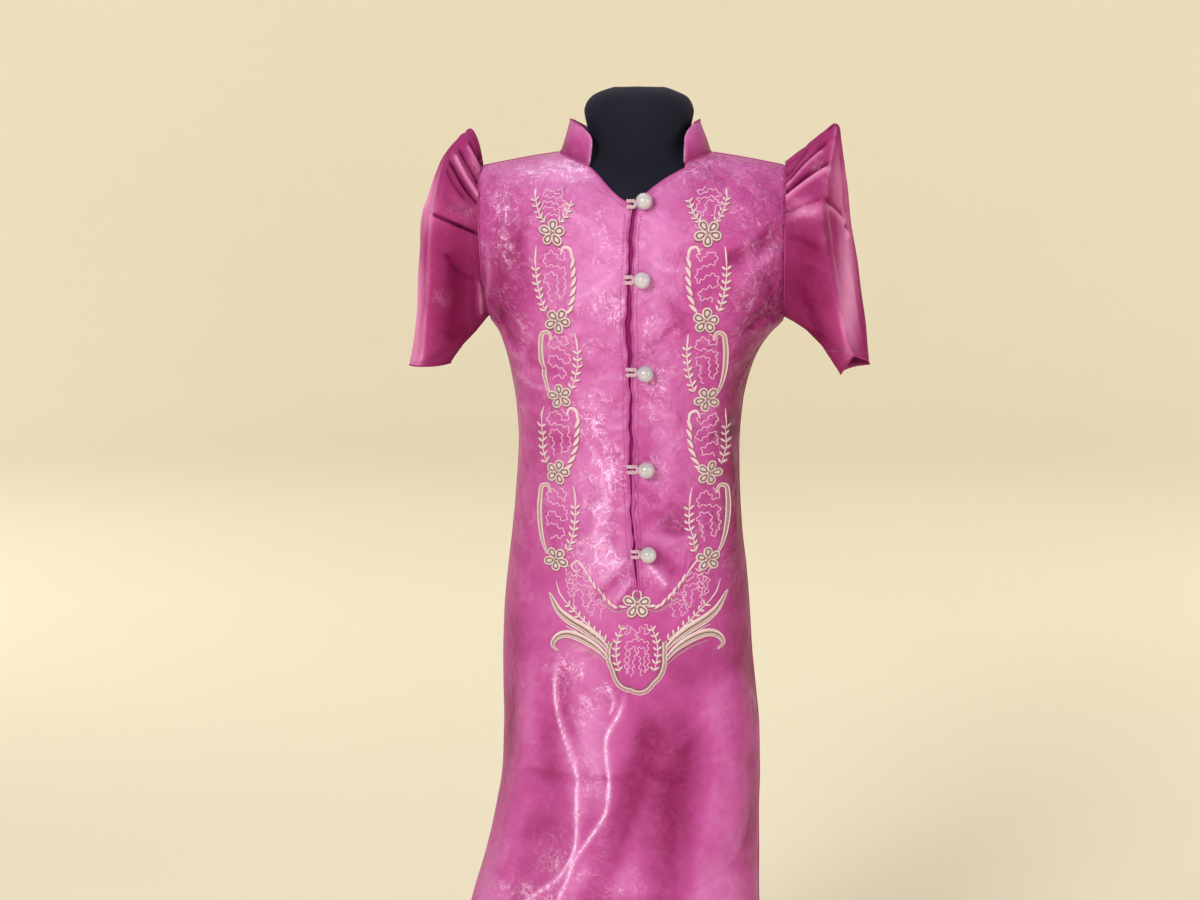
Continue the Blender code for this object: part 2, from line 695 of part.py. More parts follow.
def build_torso(material):
    spots = torso_bearings()
    rings = []
    for z in (490, 492, 513, 551, 588, 615, 643, 671, 698, 734, 758, 784, 800, 812, 824, 838, 853, 864):
        ring = [torso_point(b, z) for b in spots]
        if z == 490:
            ring = [[p[0] * 0.985, p[1] * 0.98, z] for p in ring]
        rings.append(ring)
    for part in (0.0, 0.12, 0.28, 0.46, 0.64, 0.82, 0.96):
        rings.append([torso_dome(b, part) for b in spots])
    top = rings[-1]
    for z, rx, ry in ((961, 43.6, 41.5), (970, 44.2, 41.8), (982, 46.6, 44), (NECK_RIM_Z, 47.9, 45.5),
                      (994, 48.2, 45.6), (1001, 45.2, 43), (1007, 38.5, 36.5), (NECK_TOP_Z, 25, 23)):
        ring = []
        for p in top:
            angle = math.atan2(p[1] / 45.0, (p[0] - NECK_CENTRE_X) / 44.0)
            ring.append([NECK_CENTRE_X + rx * math.cos(angle), ry * math.sin(angle), z])
        rings.append(ring)
    points, faces = lofted(rings)
    return mesh_object("form_torso", points, faces, material)


def build_pole(material):
    n = 24
    r = POLE_DIAMETER / 2
    rings = []
    for z in (BASE_HEIGHT + 0.3, TORSO_END_Z - 0.3):
        rings.append([[r * math.cos(2 * math.pi * k / n), r * math.sin(2 * math.pi * k / n), z]
                      for k in range(n)])
    points, faces = lofted(rings)
    return mesh_object("form_pole", points, faces, material)


def build_base(material):
    n = 48
    edge = BASE_DIAMETER / 2
    rings = []
    rows = ((0, edge - 2), (3, edge), (12, edge), (16, edge - 4), (19, 120), (21.5, 40), (BASE_HEIGHT, 24))
    for z, r in rows:
        rings.append([[r * math.cos(2 * math.pi * k / n), r * math.sin(2 * math.pi * k / n), z]
                      for k in range(n)])
    points, faces = lofted(rings)
    return mesh_object("form_base", points, faces, material)


def pearl_place(x, z):
    """Centre of a pearl: it stands on the front, off the surface by its radius."""
    if z <= CHEST_Z:
        u = u_at(x, 3, z)
        p, n = surface(3, u, z), normal(3, u, z)
    else:
        u = u_at(x, 3, CHEST_Z)
        rise = math.asin((z - CHEST_Z) / (shoulder_z(x) - CHEST_Z))
        p, n = surface(3, u, rise=rise), normal(3, u, rise=rise)
    r = PEARL_DIAMETER / 2
    return [p[k] + n[k] * (r + 0.4) for k in range(3)], n


def build_pearl(number, x, z, material):
    centre, _n = pearl_place(x, z)
    r = PEARL_DIAMETER / 2
    n, m = 16, 9
    rings = []
    for i in range(1, m):
        lat = -math.pi / 2 + math.pi * i / m
        rings.append([[centre[0] + r * math.cos(lat) * math.cos(2 * math.pi * k / n),
                       centre[1] + r * math.cos(lat) * math.sin(2 * math.pi * k / n),
                       centre[2] + r * math.sin(lat)] for k in range(n)])
    points, faces = lofted(rings)
    return mesh_object(f"button_{number}", points, faces, material)


def build_loop(number, x, z, material):
    """Hairpin of cord: out from the slit's left edge to the pearl, and back."""
    centre, _n = pearl_place(x, z)
    left = table(SLIT, min(z, CHEST_Z), 1) - 0.5
    half = LOOP_HALF
    width = LOOP_THICK
    stop = centre[0] - PEARL_DIAMETER / 2 - 0.2
    spots = [left - 2, left + 2, (left + stop) / 2, stop - 1.5]
    path = [(s, z + half) for s in spots]
    for k in range(1, 6):
        a = math.pi / 2 - math.pi * k / 6
        path.append((stop - 1.5 + half * 0.7 * math.cos(a), z + half * math.sin(a)))
    path += [(s, z - half) for s in reversed(spots)]
    rings = []
    for i, (px, pz) in enumerate(path):
        a = path[max(0, i - 1)]
        b = path[min(len(path) - 1, i + 1)]
        dx, dz = b[0] - a[0], b[1] - a[1]
        size = math.hypot(dx, dz)
        dx, dz = dx / size, dz / size
        at = min(pz, CHEST_Z)
        if pz <= CHEST_Z:
            u = u_at(px, 3, at)
            p, n = surface(3, u, pz), normal(3, u, pz)
        else:
            u = u_at(px, 3, CHEST_Z)
            rise = math.asin((pz - CHEST_Z) / (shoulder_z(px) - CHEST_Z))
            p, n = surface(3, u, rise=rise), normal(3, u, rise=rise)
        lift = 0.4 + width * 0.36
        mid = [p[k] + n[k] * lift for k in range(3)]
        ring = []
        for k in range(6):
            w = 2 * math.pi * k / 6
            across = math.cos(w) * width * 0.5
            up = math.sin(w) * width * 0.36
            shift = [-dz * across, 0.0, dx * across]
            ring.append([mid[k] + shift[k] + n[k] * up for k in range(3)])
        rings.append(ring)
    points, faces = lofted(rings)
    return mesh_object(f"loop_{number}", points, faces, material)


def outward(thing):
    """Turn every face of a closed solid outward."""
    work = bmesh.new()
    work.from_mesh(thing.data)
    bmesh.ops.recalc_face_normals(work, faces=work.faces)
    work.to_mesh(thing.data)
    work.free()


for old in list(bpy.data.objects):
    bpy.data.objects.remove(old, do_unlink=True)

satin = principled("pink_satin", (0.55, 0.12, 0.33), 0.42)
underlap_cloth = principled("pink_underlap", (0.40, 0.07, 0.20), 0.55)
pearl = principled("pearl", (0.85, 0.82, 0.80), 0.18)
cord = principled("pink_cord", (0.80, 0.45, 0.60), 0.5)
jersey = principled("black_jersey", (0.014, 0.015, 0.022), 0.85)
metal = principled("black_metal", (0.02, 0.02, 0.022), 0.4, 0.8)

build_front(satin)
build_back(satin)
build_sleeve("sleeve_wearers_right", SLEEVE_WEARERS_RIGHT, RIDGE_BOW_WEARERS_RIGHT, satin)
build_sleeve("sleeve_wearers_left", SLEEVE_WEARERS_LEFT, RIDGE_BOW_WEARERS_LEFT, satin)
build_collar(satin)
build_underlap(underlap_cloth)
for k, (bx, bz) in enumerate(BUTTONS):
    build_pearl(k + 1, bx, bz, pearl)
    outward(build_loop(k + 1, bx, bz, cord))
build_torso(jersey)
build_pole(metal)
build_base(metal)
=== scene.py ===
"""Looks of a child's filipiniana dress on a dress form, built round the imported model."""
import math
import random
import bpy
import numpy as np
from mathutils import Matrix, Vector


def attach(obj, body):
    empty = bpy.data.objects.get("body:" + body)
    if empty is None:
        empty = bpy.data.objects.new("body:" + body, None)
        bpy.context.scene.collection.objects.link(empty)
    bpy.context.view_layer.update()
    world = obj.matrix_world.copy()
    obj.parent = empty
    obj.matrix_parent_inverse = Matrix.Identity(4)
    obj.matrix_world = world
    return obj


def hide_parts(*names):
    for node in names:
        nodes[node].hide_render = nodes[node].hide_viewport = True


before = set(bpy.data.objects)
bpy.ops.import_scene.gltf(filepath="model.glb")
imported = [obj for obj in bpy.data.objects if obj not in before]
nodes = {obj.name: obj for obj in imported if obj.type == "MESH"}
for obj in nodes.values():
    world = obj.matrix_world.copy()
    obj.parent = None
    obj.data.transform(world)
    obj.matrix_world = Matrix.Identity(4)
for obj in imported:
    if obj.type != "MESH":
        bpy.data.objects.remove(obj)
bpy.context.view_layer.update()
rng = random.Random(7)
nrng = np.random.default_rng(7)

# the camera: the photograph's angle, its 1200 x 900 frame and 0.9 mm to a pixel at the form's axis
AZIMUTH, ELEVATION, DISTANCE = math.radians(4.0), math.radians(8.0), 2.1
PIXEL = 0.0009
AXIS_PIXEL_X = 633.3
AXIS_HEIGHT = 0.69
SENSOR = 36.0
right = np.array([math.cos(AZIMUTH), math.sin(AZIMUTH), 0.0])
toward = np.array([math.sin(AZIMUTH) * math.cos(ELEVATION), -math.cos(AZIMUTH) * math.cos(ELEVATION),
                   math.sin(ELEVATION)])
upward = np.cross(toward, right)
eye = np.array([0, 0, AXIS_HEIGHT]) - right * (AXIS_PIXEL_X - 600) * PIXEL + toward * DISTANCE
focal = DISTANCE / PIXEL

camera_data = bpy.data.cameras.new("camera")
camera_data.sensor_width = SENSOR
camera_data.lens = SENSOR * focal / 1200
camera_data.clip_end = 60
camera = bpy.data.objects.new("camera", camera_data)
bpy.context.scene.collection.objects.link(camera)
camera.matrix_world = Matrix([[right[i], upward[i], toward[i], eye[i]] for i in range(3)] + [[0, 0, 0, 1]])
bpy.context.scene.camera = camera

# the dress's own sizes, in millimetres, as in the CAD source
CHEST_Z, ARMPIT_Z, TIP_Z, NECK_Z = 878.0, 811.0, 944.0, 962.0
#   z, half_width, centre_x, front, back, flute
SECTIONS = [
    (60, 156, -22, 122, 118, 7.0), (100, 153, -22, 119, 115, 6.3), (150, 149, -21.5, 114, 110, 5.4),
    (210, 141, -20.5, 107, 104, 4.2), (270, 133, -17, 100, 98, 3.0), (324, 124.7, -9.3, 95, 94, 2.0),
    (362, 120.2, -5.2, 92.5, 92.5, 1.3), (400, 117.6, -2, 91, 92, 0.8), (438, 116.4, -1.6, 91, 92, 0.4),
    (476, 114.7, -3.5, 90, 92, 0.2), (513, 112.7, -5.2, 89, 91, 0), (551, 110.6, -5.6, 88, 89, 0),
    (588, 107.1, -5.4, 86, 85, 0), (615, 103.8, -5.4, 84, 81, 0), (643, 101.3, -5.1, 82, 78, 0),
    (671, 99.6, -4.6, 80, 76, 0), (698, 98.7, -4.0, 79, 75, 0), (734, 101.1, -3.8, 80, 76, 0),
    (752, 104.2, -3.5, 81, 78, 0), (770, 108.7, -2.7, 82.5, 80, 0), (784, 113.8, -1.4, 84, 82, 0),
    (797, 120.8, 0.8, 85, 83, 0), (811, 131.0, 2.5, 86, 84, 0), (830, 131.5, 2.0, 86, 85, 0),
    (878, 132.5, 1.0, 86, 82, 0),
]
#   z, left_edge_x, right_edge_x
SLIT = [
    (914, 2.6, 7.3), (883, 0.0, 5.2), (849, -1.6, 4.3), (815, -2.8, 3.6), (772, -0.6, 4.0), (729, 0.3, 4.8),
    (690, 2.4, 6.0), (659, 4.4, 7.4), (620, 6.2, 8.8), (588, 7.2, 9.3), (566, 8.2, 8.2), (513, 5.0, 5.0),
    (400, 0.0, 0.0), (60, -20.0, -20.0),
]
#   x, z
NECKLINE = [
    (-36.0, 944.0), (-27.5, 936.5), (-20.8, 929.5), (-13.5, 922.2), (-5.4, 916.2), (2.6, 913.2), (7.3, 914.0),
    (12.0, 919.0), (20.5, 926.5), (32.0, 934.8), (46.0, 942.5),
]
LEFT_X = [None, -119, -104, -89, -74, -66, -57, -47, -37, -29, -21.5, -14, -6.5, None]
LEFT_TOP = [None, -118, -101, -84, -65, -63.2, -57.5, -48, -36, -27.5, -20.8, -13.5, -5.4, 2.6]
RIGHT_X = [None, 12, 19, 27, 36, 45, 53, 61, 69, 77, 91, 105, 119, None]
RIGHT_TOP = [7.3, 12, 20.5, 28, 36.5, 46, 54.5, 61.5, 66.2, 68, 85, 101, 118, None]
BACK_X = [None, -119, -104, -89, -74, -64, -53, -39, -20, 1.5, 23, 42, 56, 67, 77, 91, 105, 119, None]
BACK_TOP = [None, -118, -101, -84, -65, -62.5, -54, -39, -20, 1.5, 23, 42, 57, 65.5, 68, 85, 101, 118, None]
RING_X, RING_HALF_X, RING_HALF_Y = 1.5, 66.5, 58.0
OPEN_LEFT, OPEN_RIGHT = 37.5, 44.5


def curve(rows, column):
    """A column of a table as a dense array, eased between its rows, for np.interp."""
    rows = sorted(rows)
    xs = np.array([r[0] for r in rows], float)
    ys = np.array([r[column] for r in rows], float)
    flat = np.diff(ys) / np.diff(xs)
    slope = np.zeros(len(xs))
    for i in range(1, len(xs) - 1):
        a, b = flat[i - 1], flat[i]
        slope[i] = 0.0 if a * b <= 0 else 2 * a * b / (a + b)
    slope[0], slope[-1] = flat[0], flat[-1]
    at = np.linspace(xs[0], xs[-1], 3000)
    i = np.clip(np.searchsorted(xs, at, side="right") - 1, 0, len(xs) - 2)
    h = xs[i + 1] - xs[i]
    t = (at - xs[i]) / h
    value = ((2 * t ** 3 - 3 * t ** 2 + 1) * ys[i] + (t ** 3 - 2 * t ** 2 + t) * h * slope[i]
             + (3 * t ** 2 - 2 * t ** 3) * ys[i + 1] + (t ** 3 - t ** 2) * h * slope[i + 1])
    return at, value


HALF, CENTRE, FRONT, BACK, FLUTE = (curve(SECTIONS, k) for k in range(1, 6))
SLIT_L, SLIT_R = curve(SLIT, 1), curve(SLIT, 2)
NECK_LINE = curve(NECKLINE, 1)


def read(table, at):
    return np.interp(at, table[0], table[1])


def seams(z):
    z = np.asarray(z, float)
    low_l, low_r = read(CENTRE, z) - read(HALF, z), read(CENTRE, z) + read(HALF, z)
    return (np.where(z >= ARMPIT_Z, -128.5 - (z - ARMPIT_Z) * 0.049, low_l), np.where(z >= ARMPIT_Z, 133.5, low_r))


def arm_depth(z):
    z = np.asarray(z, float)
    half = np.where(z < CHEST_Z, CHEST_Z - ARMPIT_Z, TIP_Z - CHEST_Z)
    return np.where(z <= ARMPIT_Z, 0.0, 52.0 * np.sqrt(np.clip(1 - ((z - CHEST_Z) / half) ** 2, 0, 1)))


def shoulder_z(x):
    return NECK_Z + (TIP_Z - NECK_Z) * np.minimum(1.0, np.abs(x - 1.0) / 134.0) ** 1.6


def depth_of(side, z):
    return read(FRONT if side == 3 else BACK, z)


def surface(side, u, z, rise):
    """Points on the dress's outside: side 3 is the front and 4 the back, u runs -1..1 between the seams,
    z is the height up to the chest line, and rise (radians) carries a point over the shoulder."""
    u, z, rise = np.broadcast_arrays(np.asarray(u, float), np.asarray(z, float), np.asarray(rise, float))
    sign = -1 if side == 3 else 1
    over = rise > 0
    at = np.where(over, CHEST_Z, z)
    depth = depth_of(side, at)
    widest = np.arccos(arm_depth(at) / depth)
    angle = u * widest
    edge = np.where(over, CHEST_Z + (TIP_Z - CHEST_Z) * np.sin(rise), z)
    l, r = seams(edge)
    x = (l + r) / 2 + (r - l) / 2 * np.sin(angle) / np.sin(widest)
    y = sign * depth * np.cos(angle) * np.cos(rise)
    height = np.where(over, CHEST_Z + (shoulder_z(x) - CHEST_Z) * np.sin(rise), z)
    round_angle = angle if side == 3 else math.pi - angle
    fold = np.where(over, 0.0, read(FLUTE, z)) * (0.60 * np.sin(5 * round_angle + 0.9)
                                                  + 0.40 * np.sin(8 * round_angle - 0.7)
                                                  + 0.25 * np.sin(3 * round_angle + 2.0))
    return np.stack([x + fold * np.sin(angle), y + sign * fold * np.cos(angle), height], -1)


def u_at(x, side, z, edge=None):
    z = np.asarray(z, float)
    depth = depth_of(side, np.minimum(z, CHEST_Z))
    widest = np.arccos(arm_depth(np.minimum(z, CHEST_Z)) / depth)
    l, r = seams(z if edge is None else edge)
    return np.arcsin(np.clip((x - (l + r) / 2) / ((r - l) / 2) * np.sin(widest), -1, 1)) / widest


def top_edge(side, x):
    """u and rise where a panel ends above x: shoulder seam, collar ring or V neckline."""
    dx = x - RING_X
    rise = math.pi / 2
    for _ in range(30):
        u = float(u_at(x, side, CHEST_Z, CHEST_Z + (TIP_Z - CHEST_Z) * math.sin(rise)))
        if abs(dx) >= RING_HALF_X:
            break
        if side == 3 and -OPEN_LEFT <= dx <= OPEN_RIGHT:
            new = math.asin(min(1.0, (float(read(NECK_LINE, x)) - CHEST_Z) / (float(shoulder_z(x)) - CHEST_Z)))
        else:
            depth = abs(float(surface(side, u, CHEST_Z, 0)[1]))
            new = math.acos(min(1.0, RING_HALF_Y * math.sqrt(1 - (dx / RING_HALF_X) ** 2) / depth))
        rise = 0.5 * (rise + new)
    return u, rise


def front_y(x, z):
    """y of the front's plain form below or above the chest line."""
    x, z = np.asarray(x, float), np.asarray(z, float)
    rise = np.arcsin(np.clip((z - CHEST_Z) / (shoulder_z(x) - CHEST_Z), 0, 0.9999))
    at = np.minimum(z, CHEST_Z)
    depth = read(FRONT, at)
    widest = np.arccos(arm_depth(at) / depth)
    l, r = seams(np.where(z > CHEST_Z, CHEST_Z + (TIP_Z - CHEST_Z) * np.sin(rise), z))
    s = np.clip((x - (l + r) / 2) / ((r - l) / 2) * np.sin(widest), -0.9999, 0.9999)
    return -depth * np.sqrt(1 - s * s) * np.cos(rise)


def front_normal(x, z):
    gx = (front_y(x + 0.5, z) - front_y(x - 0.5, z))
    gz = (front_y(x, z + 0.5) - front_y(x, z - 0.5))
    n = np.stack([gx, -np.ones_like(gx), gz], -1)
    return n / np.linalg.norm(n, axis=-1, keepdims=True)


def seen(px, py):
    """x and z, in millimetres, of the front's point seen at a pixel of the photograph."""
    px, py = np.asarray(px, float), np.asarray(py, float)
    ray = -toward + right * ((px - 600) / focal)[..., None] + upward * ((450 - py) / focal)[..., None]
    y = np.full(px.shape, -0.085)
    for _ in range(8):
        t = (y - eye[1]) / ray[..., 1]
        p = eye + ray * t[..., None]
        y = front_y(p[..., 0] * 1000, p[..., 2] * 1000) / 1000
    return np.stack([p[..., 0], p[..., 2]], -1) * 1000


def seen_list(points):
    a = np.array(points, float)
    return seen(a[:, 0], a[:, 1])


# creases of the front: photo pixels along each, half-width and height in millimetres, painted sheen along it
CREASES = [
    ([(558, 646), (555, 680), (557, 710), (566, 742), (576, 772), (577, 810), (575, 848), (560, 876), (533, 897), (490, 930)], 2.9, 1.5, 0.92),
    ([(628, 684), (620, 712), (607, 736), (607, 760), (609, 780), (606, 812), (590, 838), (575, 860), (566, 884), (540, 940)], 2.9, 1.5, 0.92),
    ([(566, 655), (562, 700), (576, 750), (588, 790), (588, 840), (570, 880)], 9, -1.4, 0),
    ([(537, 650), (538, 700), (548, 750), (560, 800), (558, 850), (535, 885)], 12, -1.2, 0),
    ([(650, 700), (648, 740), (632, 790), (618, 830), (600, 880), (585, 940)], 13, -2.3, 0),
    ([(722, 660), (734, 740), (733, 800), (715, 860), (705, 960)], 26, 2.6, 0),
    ([(690, 690), (682, 780), (676, 880), (672, 990)], 22, -1.5, 0),
    ([(518, 755), (530, 768), (548, 776), (575, 779), (625, 780)], 4.5, -1.6, 0),
    ([(560, 815), (522, 835), (490, 848)], 8, -0.7, 0),
    ([(770, 856), (740, 862), (720, 872), (698, 888)], 8, -1.2, 0),
    ([(516, 600), (513, 690), (508, 770)], 10, -0.8, 0),
    ([(532, 640), (529, 720), (520, 800), (500, 880), (480, 960)], 13, 2.4, 0.1),
    ([(634, 566), (622, 576), (606, 590), (592, 600)], 3.2, -2.0, 0),
    ([(634, 578), (624, 590), (614, 602)], 2.6, 2.0, 0.4),
    ([(630, 556), (614, 568), (598, 580)], 2.6, 2.0, 0.6),
    ([(632, 585), (625, 600), (616, 612)], 2.4, -1.2, 0),
    ([(645, 562), (656, 574), (668, 588)], 3.4, 2.0, 0.9),
    ([(645, 552), (664, 560), (678, 574)], 4.0, -1.8, 0),
    ([(638, 522), (652, 515), (668, 518)], 3.0, -1.4, 0),
    ([(674, 500), (676, 518), (668, 534)], 8.0, -1.0, 0),
    ([(640, 534), (670, 540), (700, 536)], 7.0, 1.6, 0),
    ([(634, 363), (644, 359), (656, 352)], 2.6, -2.4, 0),
    ([(644, 349), (666, 334), (688, 312)], 3.2, -1.6, 0),
    ([(786, 226), (762, 242), (744, 254), (726, 264)], 6.0, -3.0, 0),
    ([(786, 240), (770, 256), (748, 272), (738, 292)], 7.0, 2.2, 0.3),
    ([(778, 310), (762, 318), (742, 334)], 5.0, -1.4, 0),
    ([(486, 238), (489, 270), (487, 302)], 4.0, 1.6, 0.5),
    ([(497, 300), (504, 328), (520, 344), (542, 352)], 4.0, -1.6, 0),
    ([(500, 322), (510, 346), (530, 362)], 4.0, 1.2, 0.2),
    ([(520, 190), (523, 250), (519, 320)], 11, -1.2, 0),
    ([(629, 203), (602, 204), (572, 207)], 2.2, -0.9, 0),
    ([(566, 182), (596, 194), (624, 203)], 3.0, 0.7, 0.2),
    ([(652, 190), (690, 192), (735, 180)], 5.0, 0.7, 0.1),
    ([(514, 420), (540, 436), (576, 440)], 5.0, -1.2, 0),
    ([(512, 400), (534, 408), (560, 428)], 4.0, 0.9, 0.1),
    ([(742, 420), (720, 436), (688, 440)], 5.0, -1.3, 0),
    ([(742, 395), (722, 410), (700, 414)], 4.0, 0.9, 0),
    ([(600, 452), (612, 458), (626, 458)], 3.5, -1.0, 0),
    ([(596, 470), (606, 492), (600, 520), (592, 548)], 6.0, 1.2, 0.6),
    ([(618, 500), (612, 530), (618, 552)], 4.0, -0.9, 0),
    ([(614, 555), (612, 562), (605, 565), (598, 562), (596, 555), (598, 548), (605, 545), (612, 548), (614, 555)], 1.9, 1.0, 0.9),
    ([(606, 551), (603, 554), (606, 558)], 1.6, 0.8, 0.8), ([(590, 530), (600, 536), (612, 532)], 2.0, 0.8, 0.7),
    ([(588, 505), (602, 512), (616, 508)], 2.0, 0.7, 0.7), ([(584, 440), (594, 452), (590, 470)], 2.2, 0.7, 0.7),
    ([(612, 440), (604, 452), (610, 468)], 2.2, 0.7, 0.7), ([(540, 160), (562, 166), (592, 170)], 2.4, 0.8, 0.8),
    ([(546, 178), (570, 180), (600, 174)], 2.2, 0.7, 0.6), ([(568, 214), (590, 222), (606, 236)], 3.0, 0.8, 0.5),
    ([(578, 250), (596, 262), (620, 262)], 3.0, -0.8, 0), ([(574, 300), (596, 288), (618, 270)], 3.0, 0.8, 0.4),
    ([(570, 360), (584, 372), (604, 366)], 3.0, -1.0, 0), ([(566, 380), (582, 392), (600, 388)], 2.4, 0.8, 0.5),
    ([(604, 690), (614, 700), (609, 716)], 2.4, 0.6, 0.7), ([(508, 836), (512, 850), (507, 866)], 2.0, 0.4, 0.35),
    ([(748, 690), (756, 700), (752, 712)], 2.0, 0.4, 0.4), ([(566, 654), (580, 650), (600, 656)], 2.4, 0.6, 0.6),
    ([(540, 836), (516, 842), (494, 856)], 5.0, 0.4, 0),
    ([(744, 740), (752, 800), (742, 860)], 9.0, -1.6, 0), ([(770, 620), (756, 664), (758, 720)], 8.0, -1.4, 0),
    ([(524, 352), (536, 366), (560, 372)], 3.4, -1.6, 0), ([(516, 368), (532, 384), (556, 390)], 3.4, 1.4, 0.3),
    ([(664, 296), (676, 312), (690, 340)], 4.0, -1.4, 0), ([(650, 262), (668, 270), (690, 266)], 4.0, 1.1, 0.2),
    ([(584, 212), (604, 226), (622, 248)], 4.0, -1.2, 0), ([(536, 210), (530, 240), (534, 270)], 6.0, 1.2, 0.2),
    ([(752, 226), (748, 262), (756, 300)], 8.0, 1.4, 0.2), ([(720, 180), (728, 208), (726, 236)], 6.0, -1.0, 0),
    ([(664, 520), (676, 530), (694, 522)], 6.0, -0.9, 0), ([(650, 402), (660, 412), (680, 418)], 3.0, 1.0, 0.4),
    ([(650, 300), (660, 330), (652, 346)], 6.0, 0.8, 0.3),
    ([(650, 210), (656, 250), (652, 280)], 6.0, 0.6, 0.2),
    ([(627, 288), (614, 296), (598, 300)], 2.6, -1.1, 0), ([(627, 300), (612, 312), (596, 318)], 2.6, 0.9, 0.3),
    ([(628, 340), (612, 350), (594, 352)], 2.8, -1.2, 0), ([(629, 380), (610, 376), (590, 384)], 2.8, 1.0, 0.4),
    ([(629, 392), (614, 402), (600, 404)], 2.4, -1.0, 0), ([(631, 420), (618, 428), (604, 426)], 2.4, 0.8, 0.3),
    ([(629, 480), (614, 484), (600, 494)], 2.6, -1.0, 0), ([(630, 505), (616, 512), (606, 510)], 2.4, 0.9, 0.3),
    ([(640, 300), (652, 312), (664, 314)], 2.6, -0.9, 0), ([(641, 390), (654, 398), (668, 396)], 2.6, -0.9, 0),
    ([(642, 425), (656, 430), (668, 440)], 2.6, 0.8, 0.2), ([(641, 488), (652, 498), (664, 500)], 2.6, -1.0, 0),
    ([(584, 320), (566, 340), (540, 350)], 5.0, 0.8, 0.3), ([(690, 250), (676, 268), (668, 290)], 5.0, -0.8, 0),
]
# painted crackled sheen: photo pixel, half-width and half-height in pixels, strength
GLINTS = [
    (602, 420, 20, 34, 0.65), (604, 470, 20, 30, 0.70), (596, 520, 22, 30, 0.70), (604, 556, 24, 20, 0.75),
    (652, 470, 18, 12, 0.5), (654, 572, 10, 10, 0.7), (560, 170, 36, 11, 0.75), (505, 205, 9, 16, 0.7),
    (503, 240, 9, 22, 0.45), (598, 366, 20, 22, 0.55), (648, 330, 9, 30, 0.55), (660, 380, 14, 18, 0.5),
    (770, 200, 26, 14, 0.4), (740, 206, 22, 20, 0.45), (576, 668, 26, 10, 0.75), (604, 688, 10, 7, 0.7),
    (600, 884, 34, 12, 0.6), (584, 700, 20, 44, 0.34), (590, 800, 12, 70, 0.32), (560, 870, 22, 26, 0.30), (540, 900, 34, 12, 0.75), (690, 646, 12, 7, 0.4), (700, 168, 24, 10, 0.3),
    (640, 250, 8, 30, 0.35), (578, 206, 24, 10, 0.45), (618, 330, 12, 34, 0.4), (516, 440, 6, 50, 0.35),
    (596, 240, 22, 22, 0.30), (600, 300, 20, 20, 0.35), (655, 420, 12, 26, 0.35), (668, 548, 10, 10, 0.15),
    (520, 330, 12, 12, 0.3), (530, 170, 14, 8, 0.5), (752, 300, 10, 26, 0.2), (700, 230, 14, 16, 0.25),
]


def segments_away(points, x, z):
    """Distance to a polyline, and the share of its length where it is nearest."""
    best = np.full(x.shape, 1e9)
    share = np.zeros(x.shape)
    lengths = np.linalg.norm(np.diff(points, axis=0), axis=1)
    total = lengths.sum()
    run = 0.0
    for k in range(len(points) - 1):
        a, d = points[k], points[k + 1] - points[k]
        t = np.clip(((x - a[0]) * d[0] + (z - a[1]) * d[1]) / (lengths[k] ** 2 + 1e-9), 0, 1)
        away = np.hypot(x - a[0] - t * d[0], z - a[1] - t * d[1])
        nearer = away < best
        best = np.where(nearer, away, best)
        share = np.where(nearer, (run + t * lengths[k]) / total, share)
        run += lengths[k]
    return best, share


def rounded(points, n=10):
    """A smooth line through the points."""
    p = np.asarray(points, float)
    if len(p) < 3:
        return p
    ends = np.vstack([2 * p[0] - p[1], p, 2 * p[-1] - p[-2]])
    out = []
    for i in range(1, len(ends) - 2):
        a, b, c, d = ends[i - 1:i + 3]
        for t in np.linspace(0, 1, n, endpoint=False):
            out.append(0.5 * (2 * b + (c - a) * t + (2 * a - 5 * b + 4 * c - d) * t * t
                              + (3 * b - a - 3 * c + d) * t ** 3))
    out.append(p[-1])
    return np.array(out)


# painted light (+) and painted shade (-) on the front: photo pixel, half-width and half-height in pixels, amount
PAINTED_SHADING = [
    (598, 270, 46, 90, 0.60), (664, 250, 30, 80, 0.45), (500, 290, 24, 70, -0.60), (768, 285, 26, 70, -0.60),
    (560, 172, 60, 16, 0.45), (735, 190, 40, 26, 0.05), (600, 470, 30, 120, 0.35), (668, 460, 20, 70, 0.40),
    (746, 450, 22, 110, -1.5), (512, 440, 16, 100, -0.15), (684, 520, 20, 22, -0.35), (590, 570, 36, 40, 0.35),
    (588, 770, 24, 110, 0.70), (668, 790, 36, 150, -0.40), (722, 770, 24, 110, -0.25), (514, 780, 34, 130, -0.55), (756, 780, 22, 140, -0.50),
    (696, 670, 50, 40, -0.18), (595, 884, 60, 30, 0.3), (750, 640, 20, 90, -0.60), (516, 620, 22, 70, -0.15),
    (553, 320, 22, 60, -0.05), (706, 300, 22, 80, -0.1), (560, 255, 30, 50, 0.15), (640, 640, 40, 40, 0.1),
]
CREASE_LINES = [(rounded(seen_list(p), 4), w, h, g) for p, w, h, g in CREASES]
GLINT_SPOTS = [(*seen(a, b), c * 0.9, d * 0.9, e) for a, b, c, d, e in GLINTS]
PAINTED_SHADING_SPOTS = [(*seen(a, b), c * 0.9, d * 0.9, e) for a, b, c, d, e in PAINTED_SHADING]


def painted_shading_at(x, z):
    """-1 where the most shade is painted on the front, 1 where the most light is painted."""
    tone = np.full(np.shape(x), 0.0)
    for cx, cz, hx, hz, amount in PAINTED_SHADING_SPOTS:
        tone = tone + amount * np.exp(-((x - cx) / hx) ** 2 - ((z - cz) / hz) ** 2)
    return np.clip(tone, -1, 1)


def slit_swing(z, left):
    """How far the pull of the pearls moves the slit's edge aside, in millimetres."""
    return (-3.8 if left else -2.6) * np.exp(-((z - 648) / 55) ** 2)


